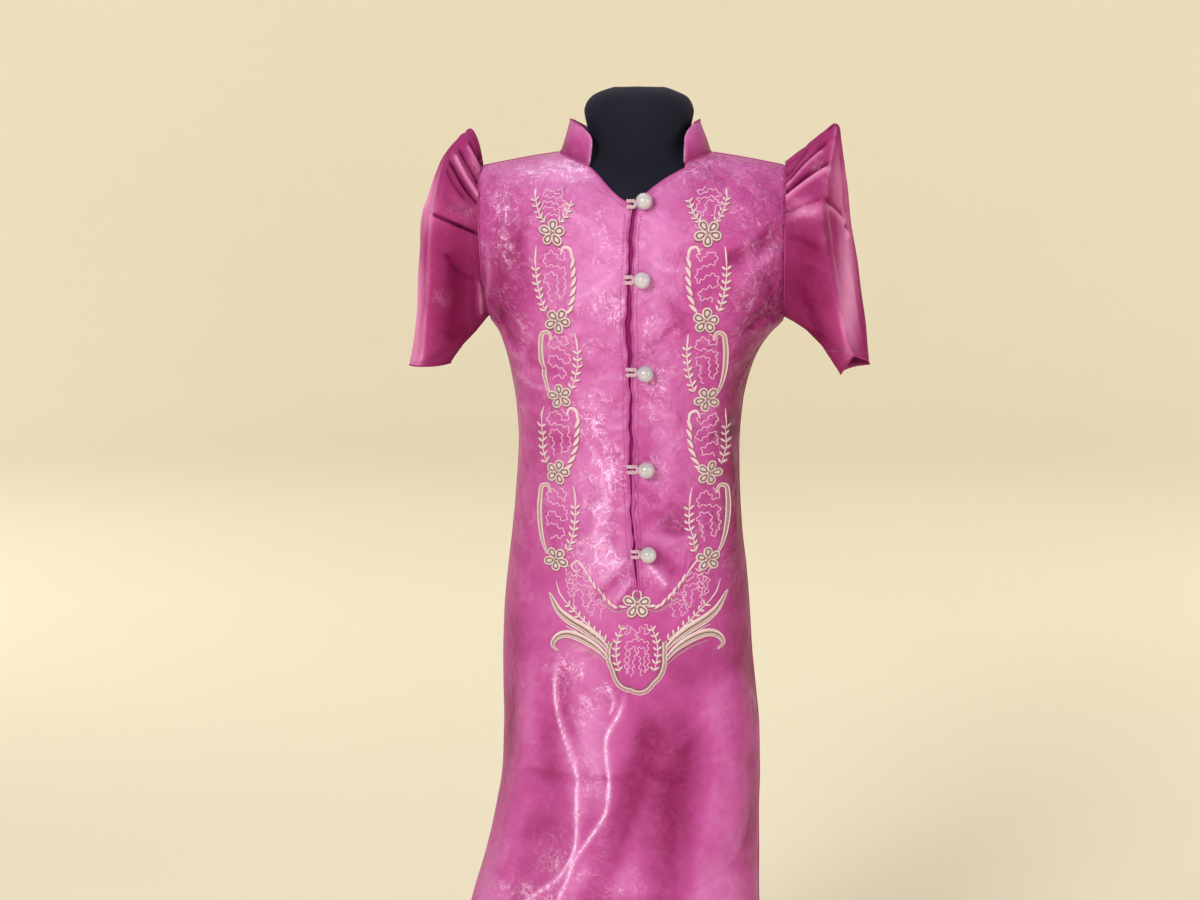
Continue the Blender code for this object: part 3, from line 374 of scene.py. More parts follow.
def slit_edge(z, left):
    """x of a slit's edge, drawn together and puckered a little between the loops."""
    z = np.asarray(z, float)
    ease = np.clip((z - 566) / 50, 0, 1)
    at = z if left else z + 40
    wave = 0.75 * np.sin(at / 6.5) + 0.55 * np.sin(at / 2.9 + 1.0) + 0.6 * np.sin(at / 15 + 2)
    return read(SLIT_L if left else SLIT_R, z) + ease * ((0.75 if left else -0.75) + 0.8 * wave + slit_swing(z, left))


def by_slit(x, z):
    """1 over the slit and its underlap, 0 away from it."""
    middle = (read(SLIT_L, z) + read(SLIT_R, z)) / 2
    return np.clip((20 - np.abs(x - middle)) / 8, 0, 1) * np.clip((np.asarray(z, float) - 535) / 15, 0, 1)


def crease(x, z):
    """How far the front's cloth stands out, in millimetres, how much painted glint it gets, and the painted highlights
    along its ridges.
    """
    out = np.zeros(np.shape(x))
    shine, ridge = np.zeros(np.shape(x)), np.zeros(np.shape(x))
    low_part = np.clip((690 - z) / 70, 0, 1)
    gain = 1.45 + 0.75 * low_part
    for line, width, height, glint in CREASE_LINES:
        away, share = segments_away(line, x, z)
        fade = np.clip(np.minimum(share, 1 - share) / 0.16, 0, 1)
        fade = fade * fade * (3 - 2 * fade)
        out += height * gain * fade * np.exp(-(away / width) ** 2)
        if glint:
            near = glint * np.clip(fade * 1.5, 0, 1)
            shine = np.maximum(shine, 0.55 * near * np.exp(-(away / (width * 0.9)) ** 2))
            ridge = np.maximum(ridge, near * np.exp(-(away / (0.9 + width * 0.32)) ** 2))
    for cx, cz, hx, hz, strength in GLINT_SPOTS:
        away = ((x - cx) / hx) ** 2 + ((z - cz) / hz) ** 2
        shine = np.maximum(shine, strength * np.exp(-away * 1.1))
    # a slow unevenness everywhere, small near the shoulders, where the cloth lies on the form
    slow = (0.5 * np.sin(x / 17 + z / 41) + 0.45 * np.sin(z / 23 - x / 29 + 1.3) + 0.35 * np.sin(x / 9.5 - z / 60 + 0.4)
            + 0.22 * np.sin(x / 4.7 + z / 13 + 2 * np.sin(z / 31)) * np.sin(z / 8.5 - x / 19 + 2 * np.sin(x / 23)))
    room = np.clip((935 - z) / 60, 0.15, 1)
    out = out + 0.5 * slow
    deepest = -3.0 - 4.0 * np.clip((600 - z) / 60, 0, 1)
    deepest = deepest + (-1.3 - deepest) * by_slit(x, z)
    return np.maximum(out * room, deepest * room), shine, ridge


def smoothed_list(values, first, last, per):
    """Finer values between the entries of a column list."""
    v = [first] + list(values[1:-1]) + [last]
    return np.interp(np.linspace(0, len(v) - 1, (len(v) - 1) * per + 1), np.arange(len(v)), v)


def make_mesh(name, points, faces, material, uv=None, attributes=None, sharp=None):
    mesh = bpy.data.meshes.new(name)
    mesh.from_pydata((np.asarray(points, float) * 0.001).tolist(), [], faces)
    mesh.validate()
    mesh.update()
    if uv is not None:
        layer = mesh.uv_layers.new(name="UVMap")
        idx = np.empty(len(mesh.loops), int)
        mesh.loops.foreach_get("vertex_index", idx)
        layer.data.foreach_set("uv", np.asarray(uv, float)[idx].ravel())
    for key, values in (attributes or {}).items():
        a = mesh.attributes.new(key, "FLOAT", "POINT")
        a.data.foreach_set("value", np.broadcast_to(np.asarray(values, float), (len(points),)).copy())
    thing = bpy.data.objects.new(name, mesh)
    bpy.context.scene.collection.objects.link(thing)
    mesh.materials.append(material)
    for p in mesh.polygons:
        p.use_smooth = True
    if sharp:
        mesh.set_sharp_from_angle(angle=math.radians(sharp))
    return thing


def solidify(thing, wall, even=False):
    m = thing.modifiers.new("wall", "SOLIDIFY")
    m.thickness = wall * 0.001
    m.offset = -1
    m.use_even_offset = even
    return thing


def grid(rows, columns, flip=False):
    faces = []
    for i in range(rows - 1):
        for j in range(columns - 1):
            a = i * columns + j
            f = (a, a + 1, a + columns + 1, a + columns)
            faces.append(f[::-1] if flip else f)
    return faces


def place(thing, replaced):
    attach(thing, "root")
    if replaced:
        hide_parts(*([replaced] if isinstance(replaced, str) else replaced))
    return thing


# materials


class Nodes:
    """A small helper for a material's nodes."""

    def __init__(self, name):
        self.material = bpy.data.materials.new(name)
        self.material.use_nodes = True
        self.tree = self.material.node_tree
        self.shader = self.tree.nodes["Principled BSDF"]

    def add(self, kind, **values):
        node = self.tree.nodes.new(kind)
        for key, value in values.items():
            if hasattr(node, key) and not (key in node.inputs):
                setattr(node, key, value)
            else:
                node.inputs[key.replace("_", " ") if key not in node.inputs else key].default_value = value
        return node

    def link(self, a, b):
        self.tree.links.new(a, b)

    def set(self, **values):
        for key, value in values.items():
            self.shader.inputs[key.replace("_", " ")].default_value = value

    def noise(self, scale, detail=3.0, rough=0.5, vector=None, distortion=0.0):
        n = self.add("ShaderNodeTexNoise")
        n.inputs["Scale"].default_value = scale
        n.inputs["Detail"].default_value = detail
        n.inputs["Roughness"].default_value = rough
        n.inputs["Distortion"].default_value = distortion
        self.link(vector or self.coords(), n.inputs["Vector"])
        return n.outputs["Fac"]

    def coords(self):
        if not hasattr(self, "_coords"):
            self._coords = self.add("ShaderNodeTexCoord").outputs["Object"]
        return self._coords

    def attribute(self, name):
        n = self.add("ShaderNodeAttribute")
        n.attribute_name = name
        return n.outputs["Fac"]

    def ramp(self, fac, stops):
        n = self.add("ShaderNodeValToRGB")
        while len(n.color_ramp.elements) < len(stops):
            n.color_ramp.elements.new(0.5)
        for e, (at, colour) in zip(n.color_ramp.elements, stops):
            e.position = at
            e.color = (*colour, 1) if len(colour) == 3 else colour
        self.link(fac, n.inputs["Fac"])
        return n.outputs["Color"]

    def mix(self, fac, a, b, kind="MIX"):
        n = self.add("ShaderNodeMix")
        n.data_type = "RGBA"
        n.blend_type = kind
        for socket, value in ((n.inputs[0], fac), (n.inputs[6], a), (n.inputs[7], b)):
            if hasattr(value, "links"):
                self.link(value, socket)
            elif isinstance(value, tuple):
                socket.default_value = (*value, 1)
            else:
                socket.default_value = value
        return n.outputs[2]

    def math(self, operation, a, b=0.0, clamp=False):
        n = self.add("ShaderNodeMath")
        n.operation = operation
        n.use_clamp = clamp
        for socket, value in ((n.inputs[0], a), (n.inputs[1], b)):
            if hasattr(value, "links"):
                self.link(value, socket)
            else:
                socket.default_value = value
        return n.outputs[0]

    def bump(self, height, strength, distance=0.001, normal=None):
        n = self.add("ShaderNodeBump")
        n.inputs["Strength"].default_value = strength
        n.inputs["Distance"].default_value = distance
        self.link(height, n.inputs["Height"])
        if normal is not None:
            self.link(normal, n.inputs["Normal"])
        return n.outputs["Normal"]

    def stretch(self, sx, sy, sz, rotation=(0, 0, 0)):
        n = self.add("ShaderNodeMapping")
        n.inputs["Scale"].default_value = (sx, sy, sz)
        n.inputs["Rotation"].default_value = rotation
        self.link(self.coords(), n.inputs["Vector"])
        return n.outputs["Vector"]


def satin_material(name, painted_shade_colour, body, painted_light_colour, glint, specular=0.17, sheen=0.02, crackle=1.0, mottled=0.30):
    """Shiny organza over satin, with light and shade painted in from the tone attribute: painted shade where the cloth
    turns away, painted light where it faces the light, and painted highlights in a crackle of thin lines gathered in
    patches along the folds."""
    m = Nodes(name)
    mottle = m.noise(21.0, 2.5, 0.5, distortion=1.0)
    fine = m.noise(72.0, 1.5, 0.5, distortion=1.2)
    tone = m.math("ADD", m.math("MULTIPLY", m.attribute("tone"), 0.36), 0.5)
    tone = m.math("ADD", tone, m.math("MULTIPLY", m.math("SUBTRACT", mottle, 0.5), mottled))
    tone = m.math("ADD", tone, m.math("MULTIPLY", m.math("SUBTRACT", fine, 0.5), mottled * 0.5))
    # the ramp runs from the blackest painted shade in troughs, through painted shade and the cloth's own colour, to
    # painted light
    darkest_painted_shade = tuple(c * 0.42 for c in painted_shade_colour)
    colour = m.ramp(tone, [(0.0, darkest_painted_shade), (0.17, painted_shade_colour), (0.48, body), (0.88, painted_light_colour)])
    shine = m.attribute("glint")
    # painted highlights: a crackle of thin bright lines, gathered by the glint attribute into patches along the folds
    lines, ridges = [], []
    for scale, width, wander, way in ((50.0, 25.0, 1.2, (1, 1, 0.8)), (98.0, 17.0, 1.5, (0.8, 1, 1))):
        n = m.noise(scale, 1.7, 0.5, vector=m.stretch(*way), distortion=wander)
        away = m.math("ABSOLUTE", m.math("SUBTRACT", n, 0.5))
        lines.append(m.math("SUBTRACT", 1.0, m.math("MULTIPLY", away, width), clamp=True))
        ridges.append(m.math("SUBTRACT", 1.0, m.math("MULTIPLY", away, width * 0.35), clamp=True))
    parts = m.ramp(m.noise(150.0, 1.0, 0.5, distortion=0.6), [(0.40, (0, 0, 0)), (0.56, (1, 1, 1))])
    patch = m.ramp(m.noise(26.0, 2.0, 0.5, distortion=0.8), [(0.42, (0.10, 0.10, 0.10)), (0.56, (1, 1, 1))])
    crackle_highlight = m.math("MULTIPLY", m.math("MAXIMUM", lines[0], m.math("MULTIPLY", lines[1], 0.85)),
                 m.math("ADD", m.math("MULTIPLY", parts, 0.75), 0.25))
    highlight_sparkle = m.ramp(m.noise(520.0, 1.5, 0.6), [(0.40, (0.25, 0.25, 0.25)), (0.58, (1, 1, 1))])
    crackle_highlight = m.math("MULTIPLY", m.math("MULTIPLY", crackle_highlight, highlight_sparkle), 1.45)
    crumple = m.attribute("crumple")
    level = m.math("ADD", m.math("MULTIPLY", shine, 1.35 * crackle), m.math("MULTIPLY", crumple, 0.15 * crackle))
    level = m.math("MULTIPLY", level, patch)
    painted_highlight = m.math("ADD", m.math("MULTIPLY", level, crackle_highlight), m.math("MULTIPLY", m.math("MULTIPLY", shine, patch), 0.16),
                  clamp=True)
    # a painted highlight along the lines of the ridge attribute, broken into sparks
    ragged = m.math("ADD", m.math("MULTIPLY", m.noise(190.0, 2.0, 0.6), 0.95), 0.02)
    edge = m.math("MULTIPLY", m.math("SUBTRACT", m.attribute("ridge"), ragged), 3.2, clamp=True)
    spark = m.ramp(m.noise(640.0, 1.0, 0.5), [(0.40, (0.35, 0.35, 0.35)), (0.58, (1, 1, 1))])
    painted_highlight = m.math("MAXIMUM", painted_highlight, m.math("MULTIPLY", edge, spark))
    painted_highlight = m.math("MAXIMUM", painted_highlight, m.math("MULTIPLY", m.attribute("ridge"), 0.30))
    colour = m.mix(painted_highlight, colour, glint)
    m.link(colour, m.shader.inputs["Base Color"])
    m.link(m.math("SUBTRACT", 0.42, m.math("MULTIPLY", shine, 0.12)), m.shader.inputs["Roughness"])
    weave = m.math("ADD", m.noise(1400.0, 1.0, 0.5, vector=m.stretch(1, 1, 0.12)),
                   m.noise(1400.0, 1.0, 0.5, vector=m.stretch(0.12, 0.12, 1)))
    rough = m.bump(weave, 0.12, 0.0004)
    small = m.math("ADD", ridges[0], m.math("MULTIPLY", ridges[1], 0.4))
    rough = m.bump(m.math("MULTIPLY", small, m.math("ADD", crumple, 0.15)), 0.32, 0.0016, rough)
    rough = m.bump(m.math("MULTIPLY", m.noise(30.0, 1.6, 0.5, distortion=1.2), m.math("ADD", crumple, 0.12)), 0.7,
                   0.0090, rough)
    m.link(rough, m.shader.inputs["Normal"])
    m.set(Sheen_Weight=sheen, Sheen_Roughness=0.3, Sheen_Tint=(1.0, 0.30, 0.68, 1.0), Specular_IOR_Level=specular,
          Specular_Tint=(1.0, 0.58, 0.84, 1.0), Anisotropic=0.3)
    return m.material


def thread_material(name, dark, body, light, along=1.0, rough=0.42):
    """Satin stitch: fine strands across the stroke, from the piece's own UV in millimetres; the bands' dark and light
    colours are painted shade between the strands and painted light on their crests.
    """
    m = Nodes(name)
    uv = m.add("ShaderNodeUVMap")
    uv.uv_map = "UVMap"
    wave = m.add("ShaderNodeTexWave")
    wave.wave_type = "BANDS"
    wave.bands_direction = "X"
    wave.inputs["Scale"].default_value = along
    wave.inputs["Distortion"].default_value = 1.4
    wave.inputs["Detail"].default_value = 2.0
    wave.inputs["Detail Scale"].default_value = 2.0
    m.link(uv.outputs["UV"], wave.inputs["Vector"])
    colour = m.ramp(wave.outputs["Fac"], [(0.0, dark), (0.45, body), (1.0, light)])
    blotch = m.noise(35.0, 2.0)
    colour = m.mix(m.math("MULTIPLY", blotch, 0.35), colour, dark)
    m.link(colour, m.shader.inputs["Base Color"])
    m.link(m.bump(wave.outputs["Fac"], 0.6, 0.0004), m.shader.inputs["Normal"])
    m.set(Roughness=rough, Sheen_Weight=0.25, Sheen_Roughness=0.4, Sheen_Tint=(1.0, 0.95, 0.85, 1.0))
    return m.material


PINK = satin_material("satin", (0.225, 0.014, 0.095), (0.450, 0.072, 0.290), (0.680, 0.250, 0.585), (0.92, 0.60, 0.90))
# the same satin with a wider spread from painted shade to painted light, for the sleeves' darker fronts and lighter
# side strips, and for the welts
SLEEVE_SATIN_PAINTED_SHADING = satin_material("sleeve_satin_painted_shading", (0.175, 0.010, 0.062), (0.370, 0.046, 0.190), (0.800, 0.300, 0.600),
                             (0.92, 0.56, 0.80), 0.0, 0.0, 0.35, 0.20)
# the same satin made darker for the underlap: painted shade inside the slit
UNDERLAP_PAINTED_SHADE = satin_material("underlap_satin_painted_shade", (0.14, 0.007, 0.060), (0.24, 0.016, 0.115), (0.36, 0.04, 0.19),
                           (0.45, 0.08, 0.24), 0.10, 0.02, 0.2, 0.3)
CORD = thread_material("loop_cord", (0.70, 0.36, 0.54), (0.88, 0.62, 0.76), (0.95, 0.78, 0.88), 1.2)
CREAM = thread_material("thread_cream", (0.70, 0.46, 0.52), (0.87, 0.70, 0.735), (0.96, 0.88, 0.90), 0.6)
TAUPE = thread_material("thread_taupe", (0.13, 0.070, 0.068), (0.23, 0.140, 0.125), (0.38, 0.26, 0.23), 0.6)
GOLD = thread_material("thread_gold", (0.30, 0.17, 0.16), (0.47, 0.31, 0.28), (0.66, 0.49, 0.45), 0.6)
PALE = thread_material("thread_pink", (0.70, 0.30, 0.55), (0.86, 0.48, 0.72), (0.94, 0.66, 0.84), 0.5)
# darker thread for the painted shadows laid under leaves, petals, pads, fronds and the medallion's bowl
SHADOW_THREAD = thread_material("thread_painted_shadow", (0.18, 0.030, 0.085), (0.27, 0.060, 0.14), (0.36, 0.11, 0.22), 0.6)
SELF = thread_material("thread_self", (0.17, 0.012, 0.07), (0.28, 0.032, 0.14), (0.40, 0.07, 0.24), 0.5)


def pearl_material():
    m = Nodes("pearl")
    tone = m.ramp(m.noise(90.0, 2.0), [(0.3, (0.44, 0.425, 0.48)), (0.7, (0.55, 0.535, 0.585))])
    m.link(tone, m.shader.inputs["Base Color"])
    m.link(m.bump(m.noise(300.0, 2.0), 0.05, 0.0003), m.shader.inputs["Normal"])
    m.set(Roughness=0.14, Coat_Weight=1.0, Coat_Roughness=0.05, Subsurface_Weight=0.1, Sheen_Weight=0.12,
          Sheen_Tint=(1.0, 0.85, 0.92, 1.0))
    return m.material


def jersey_material():
    m = Nodes("jersey")
    tone = m.ramp(m.noise(14.0, 4.0), [(0.3, (0.0058, 0.0062, 0.015)), (0.7, (0.0115, 0.012, 0.027))])
    m.link(tone, m.shader.inputs["Base Color"])
    ribs = m.noise(700.0, 1.0, 0.5, vector=m.stretch(1, 1, 0.2))
    rough = m.bump(ribs, 0.35, 0.0005)
    rough = m.bump(m.noise(45.0, 3.0), 0.12, 0.0020, rough)
    m.link(rough, m.shader.inputs["Normal"])
    m.set(Roughness=0.85, Sheen_Weight=0.05, Sheen_Roughness=0.5, Sheen_Tint=(0.5, 0.5, 0.8, 1.0),
          Specular_IOR_Level=0.18)
    return m.material


def metal_material():
    m = Nodes("black_metal")
    tone = m.ramp(m.noise(30.0, 3.0), [(0.3, (0.014, 0.014, 0.016)), (0.7, (0.026, 0.026, 0.029))])
    m.link(tone, m.shader.inputs["Base Color"])
    m.link(m.bump(m.noise(500.0, 2.0), 0.15, 0.0003), m.shader.inputs["Normal"])
    m.set(Roughness=0.38, Specular_IOR_Level=0.5)
    return m.material


PEARL, JERSEY, METAL = pearl_material(), jersey_material(), metal_material()

# the dress's front: two half grids that share the line below the slit
CLOTH = 0.9
LOW_ROWS = np.concatenate([np.arange(60, 566, 5.0), np.arange(566, 806, 3.6), np.arange(806, 878, 3.0), [878.0]])
DOME_PARTS = np.linspace(0, 1, 25)[1:]
SLIT_END_ROW = int(np.argmin(np.abs(LOW_ROWS - 566)))


def half_columns(values, tops, left_half, per):
    """x at the chest line and top edge (u, rise) of every finer column, from the seam or slit across."""
    chest_l, chest_r = float(read(SLIT_L, CHEST_Z)), float(read(SLIT_R, CHEST_Z))
    edge_l, edge_r = (float(v) for v in seams(CHEST_Z))
    tip_l, tip_r = (float(v) for v in seams(TIP_Z))
    if left_half:
        xs = smoothed_list(values, edge_l, chest_l, per)
        ts = smoothed_list(tops, tip_l, tops[-1], per)
    else:
        xs = smoothed_list(values, chest_r, edge_r, per)
        ts = smoothed_list(tops, tops[0], tip_r, per)
    ends = [top_edge(3, t) for t in ts]
    return xs, np.array(ends)


def front_half(left_half, per=6):
    xs, ends = half_columns(LEFT_X if left_half else RIGHT_X, LEFT_TOP if left_half else RIGHT_TOP, left_half, per)
    chest_u = u_at(xs, 3, CHEST_Z)
    chest_u[0 if left_half else -1] = -1.0 if left_half else 1.0
    if left_half:
        share = (chest_u + 1) / (chest_u[-1] + 1)
    else:
        share = (1 - chest_u) / (1 - chest_u[0])
    z = LOW_ROWS[:, None]
    edge = slit_edge(LOW_ROWS, left_half)
    slit = u_at(edge, 3, LOW_ROWS)[:, None]
    u = (-1 + share * (slit + 1)) if left_half else (1 - share * (1 - slit))
    low = (u, np.broadcast_to(z, u.shape), np.zeros(u.shape))
    part = DOME_PARTS[:, None]
    high = (chest_u + (ends[:, 0] - chest_u) * part, np.full((len(DOME_PARTS), len(xs)), CHEST_Z), ends[:, 1] * part)
    return [np.vstack([a, b]) for a, b in zip(low, high)]


def panel_points(side, u, z, rise, fold):
    """Surface points moved out along their normals by fold(x, z)."""
    p = surface(side, u, z, rise)
    h = 1e-3
    du = surface(side, np.clip(u + h, -1, 1), z, rise) - surface(side, np.clip(u - h, -1, 1), z, rise)
    dv = np.where((rise > 0)[..., None], surface(side, u, z, rise + h) - surface(side, u, z, np.maximum(rise - h, 1e-6)),
                  surface(side, u, np.minimum(z + 0.5, CHEST_Z), 0) - surface(side, u, z - 0.5, 0))
    n = np.cross(du, dv)
    if side == 4:
        n = -n
    n /= np.linalg.norm(n, axis=-1, keepdims=True) + 1e-12
    out, *rest = fold(p[..., 0], p[..., 2])
    edge = np.clip((1 - np.abs(u)) / 0.16, 0, 1)
    out = out * edge * edge * (3 - 2 * edge)
    return p + n * out[..., None], rest, out


def calmer_low(points):
    """How crumpled the cloth is, which sets its bumps and how much painted crackle highlight shows: 1 in the bodice,
    little in the skirt.
    """
    return 0.25 + 0.75 * np.clip((np.asarray(points, float)[:, 2] - 560) / 70, 0, 1)


def keep_seam(p, side):
    sign = -1 if side == 3 else 1
    low = sign * p[..., 1] < 0.2
    p[..., 1] = np.where(low, sign * 0.2, p[..., 1])
    return p


def build_front():
    points, shines, ridges, painted_shades, index = [], [], [], [], {}
    total = 0
    rows = len(LOW_ROWS) + len(DOME_PARTS)
    for half in (0, 1):
        u, z, rise = front_half(half == 0)
        p, (shine, ridge), out = panel_points(3, u, z, rise, crease)
        p = keep_seam(p, 3)
        # painted light and shade from the listed spots, with painted shade in the creases' troughs and painted light on
        # their crests
        tone = np.clip(painted_shading_at(p[..., 0], p[..., 2]) + 0.15 * np.clip(out, -4, 3), -1.2, 1.2)
        cols = u.shape[1]
        for i in range(rows):
            for j in range(cols):
                if half and j == 0 and i <= SLIT_END_ROW:
                    index[half, i, j] = index[0, i, last]
                    continue
                index[half, i, j] = total
                total += 1
                points.append(p[i, j])
                shines.append(shine[i, j])
                ridges.append(ridge[i, j])
                painted_shades.append(tone[i, j])
        if not half:
            last = cols - 1
        index["n", half] = cols
    faces = []
    for half in (0, 1):
        for i in range(rows - 1):
            for j in range(index["n", half] - 1):
                faces.append((index[half, i, j], index[half, i, j + 1], index[half, i + 1, j + 1], index[half, i + 1, j]))
    thing = make_mesh("dress_front", points, faces, PINK, attributes={"glint": shines, "ridge": ridges, "tone": painted_shades,
                                                                   "crumple": calmer_low(points)})
    return place(solidify(thing, CLOTH), "front")


# creases of the back, guessed: x and z in millimetres, half-width, height, painted sheen
BACK_CREASES = [
    ([(-60, 900), (-30, 870), (10, 850)], 9, 1.2, 0.2), ([(70, 905), (40, 880), (0, 868)], 9, -1.2, 0),
    ([(-112, 840), (-85, 810), (-60, 770)], 8, -1.8, 0), ([(118, 850), (90, 815), (70, 770)], 8, -1.8, 0),
    ([(-96, 700), (-60, 690), (-20, 702)], 6, -1.4, 0), ([(90, 712), (55, 696), (15, 706)], 6, -1.4, 0),
    ([(-70, 730), (-30, 718), (20, 724)], 6, 1.2, 0.3), ([(-40, 660), (-46, 560), (-60, 430), (-95, 260), (-125, 70)], 15, 2.8, 0.5),
    ([(10, 650), (18, 540), (14, 400), (0, 240), (-20, 60)], 15, -2.8, 0), ([(45, 640), (58, 520), (62, 380), (60, 220), (52, 60)], 14, 2.6, 0.6),
    ([(-84, 600), (-92, 470), (-108, 300)], 12, -2.2, 0), ([(88, 600), (96, 470), (98, 300)], 12, -1.8, 0.1),
]
BACK_LINES = [(rounded(p, 4), w, h, g) for p, w, h, g in BACK_CREASES]


def back_fold(x, z):
    out, shine, ridge = np.zeros(x.shape), np.zeros(x.shape), np.zeros(x.shape)
    for line, width, height, glint in BACK_LINES:
        away, share = segments_away(line, x, z)
        fade = np.clip(np.minimum(share, 1 - share) / 0.16, 0, 1)
        fade = fade * fade * (3 - 2 * fade)
        out += height * fade * np.exp(-(away / width) ** 2)
        shine = np.maximum(shine, 0.5 * glint * fade * np.exp(-(away / (width * 0.6)) ** 2))
        ridge = np.maximum(ridge, glint * fade * np.exp(-(away / (0.9 + width * 0.16)) ** 2))
    slow = 0.5 * np.sin(x / 19 + z / 37 + 2) + 0.45 * np.sin(z / 25 - x / 31) + 0.3 * np.sin(x / 9 - z / 55)
    room = np.clip((935 - z) / 60, 0.15, 1)
    return np.maximum((out + 0.5 * slow) * room, -3.0 * room), shine, ridge


# painted light and shade on the back, from guessed spots: x, z, half-width and half-height in millimetres, amount
def back_painted_shading(x, z):
    spots = [(-30, 870, 50, 60, 0.5), (60, 850, 40, 60, -0.1), (10, 760, 40, 90, 0.5), (-95, 780, 25, 80, -0.6),
             (95, 780, 25, 80, -0.5), (-40, 560, 30, 110, 0.5), (40, 470, 30, 130, -0.5), (-30, 280, 45, 120, 0.4),
             (60, 250, 40, 120, -0.2), (-100, 300, 30, 160, -0.3)]
    tone = np.full(np.shape(x), -0.1)
    for cx, cz, hx, hz, amount in spots:
        tone = tone + amount * np.exp(-((x - cx) / hx) ** 2 - ((z - cz) / hz) ** 2)
    return np.clip(tone, -1, 1)


def build_back():
    edge_l, edge_r = (float(v) for v in seams(CHEST_Z))
    tip_l, tip_r = (float(v) for v in seams(TIP_Z))
    xs = smoothed_list(BACK_X, edge_l, edge_r, 4)
    ends = np.array([top_edge(4, t) for t in smoothed_list(BACK_TOP, tip_l, tip_r, 4)])
    chest_u = u_at(xs, 4, CHEST_Z)
    chest_u[0], chest_u[-1] = -1, 1
    u = np.vstack([np.broadcast_to(chest_u, (len(LOW_ROWS), len(xs))),
                   chest_u + (ends[:, 0] - chest_u) * DOME_PARTS[:, None]])
    z = np.vstack([np.broadcast_to(LOW_ROWS[:, None], (len(LOW_ROWS), len(xs))), np.full((len(DOME_PARTS), len(xs)), CHEST_Z)])
    rise = np.vstack([np.zeros((len(LOW_ROWS), len(xs))), ends[:, 1] * DOME_PARTS[:, None]])
    p, (shine, ridge), out = panel_points(4, u, z, rise, back_fold)
    p = keep_seam(p, 4)
    # the tone attribute is painted light and shade, with painted shade in the creases' troughs and painted light on
    # their crests
    thing = make_mesh("dress_back", p.reshape(-1, 3), grid(*u.shape, flip=True), PINK,
                      attributes={"glint": shine.ravel(), "ridge": ridge.ravel(), "crumple": calmer_low(p.reshape(-1, 3)),
                                  "tone": (back_painted_shading(p[..., 0], p[..., 2]) + 0.15 * np.clip(out, -4, 3)).ravel()})
    return place(solidify(thing, CLOTH), "back")


# sleeves, top row to hem: seam_x, seam_z, front_x, y, z, back_x, y, z, pleat
SLEEVE_WEARERS_RIGHT = [
    (None, 943.6, -148.8, -5.6, 971.2, -148.9, 5.6, 971.4, 0),
    (None, 942, -150.8, -11, 969.2, -155.2, 12, 970.4, -0.3),
    (None, 939, -152.7, -16.5, 965.7, -159.7, 18, 967.2, -1.2),
    (None, 931, -155.4, -22, 961.9, -164.4, 26, 963.2, 1.8),
    (None, 921, -157.5, -30, 957.6, -168.0, 32, 959.5, -2.4),
    (None, 912, -159.7, -37, 952.9, -171.6, 38, 955.4, 2.6),
    (None, 905, -161.1, -43, 947.8, -175.2, 44, 950.8, -2.6),
    (None, 897, -161.2, -56, 936.0, -181.3, 55, 941.6, 0.5),
    (None, 890, -162.0, -67, 921.7, -187.5, 65, 929.6, 1.0),
    (None, 884.5, -164.6, -74, 910.8, -192.4, 72.5, 916.5, 1.2),
    (None, 881, -169.9, -77, 904.0, -196.4, 77, 903.5, -1.6),
    (None, 874, -170.5, -79.5, 892.1, -199.7, 79.5, 890.5, 0),
    (None, 860, -172.0, -80, 866.4, -202.0, 80, 859.9, 0),
    (None, 845, -173.6, -80, 838.9, -204.2, 80, 832.0, 0),
    (None, 830, -175.1, -80, 814.7, -205.9, 80, 806.8, 0),
    (None, 819, -176.2, -80, 797.3, -207.9, 80, 788.1, 0),
    (None, 812, -178.1, -80, 785.1, -209.5, 80, 775.9, 0),
    (-141.2, 798.3, -179.4, -80, 779.9, -210.5, 80, 768.3, 0),
    (-153.0, 785.0, -180.8, -80, 776.4, -211.5, 80, 763.6, 0),
    (-165.0, 768.0, -181.7, -80, 772.9, -212.1, 80, 758.0, 0),
]

SLEEVE_WEARERS_LEFT = [
    (None, 943.6, 177.0, -6.4, 976.8, 178.6, 6.4, 977.0, 0),
    (None, 941.5, 177.8, -11, 974.5, 181.4, 12, 973.6, -0.3),
    (None, 937, 177.1, -19.5, 969.4, 182.7, 18, 966.5, -1.2),
    (None, 929, 176.1, -25, 964.3, 184.4, 28, 959.4, 2.2),
    (None, 922, 175.1, -32, 959.2, 185.7, 36, 953.1, -2.2),
    (None, 914, 174.2, -39, 953.3, 187.4, 44, 945.9, 2.8),
    (None, 906.5, 172.4, -44, 947.4, 188.6, 50, 938.6, -2.8),
    (None, 899, 170.1, -54, 937.3, 190.4, 59, 927.6, 0.6),
    (None, 891, 167.9, -64, 924.8, 192.2, 67, 914.8, 1.0),
    (None, 884, 165.7, -72, 911.5, 194.0, 73, 902.8, 0.8),
    (None, 876, 165.8, -77, 898.1, 196.2, 77, 889.0, 0),
    (None, 862, 168.1, -80, 880.5, 199.3, 79.5, 870.6, 0),
    (None, 847, 172.2, -80, 859.3, 202.8, 80, 849.6, 0),
    (None, 832, 177.2, -80, 836.3, 206.3, 80, 827.5, 0),
    (None, 820.5, 182.5, -80, 815.9, 209.4, 80, 804.5, 0),
    (None, 812, 186.1, -80, 803.1, 211.0, 80, 789.7, 0),
    (151.0, 802.0, 188.4, -80, 795.4, 212.1, 80, 779.6, 0),
    (167.5, 785.5, 190.1, -80, 790.2, 213.2, 80, 771.3, 0),
    (184.5, 760.0, 192.3, -80, 784.7, 214.3, 80, 761.1, 0),
]
#   part of height, photo_left, photo_right
COLLAR_ENDS = [
    (0.0, 0.0, 0.0),
    (0.25, 0.002, 0.012),
    (0.5, 0.008, 0.03),
    (0.74, 0.02, 0.055),
    (0.9, 0.05, 0.095),
    (1.0, 0.125, 0.17),
]
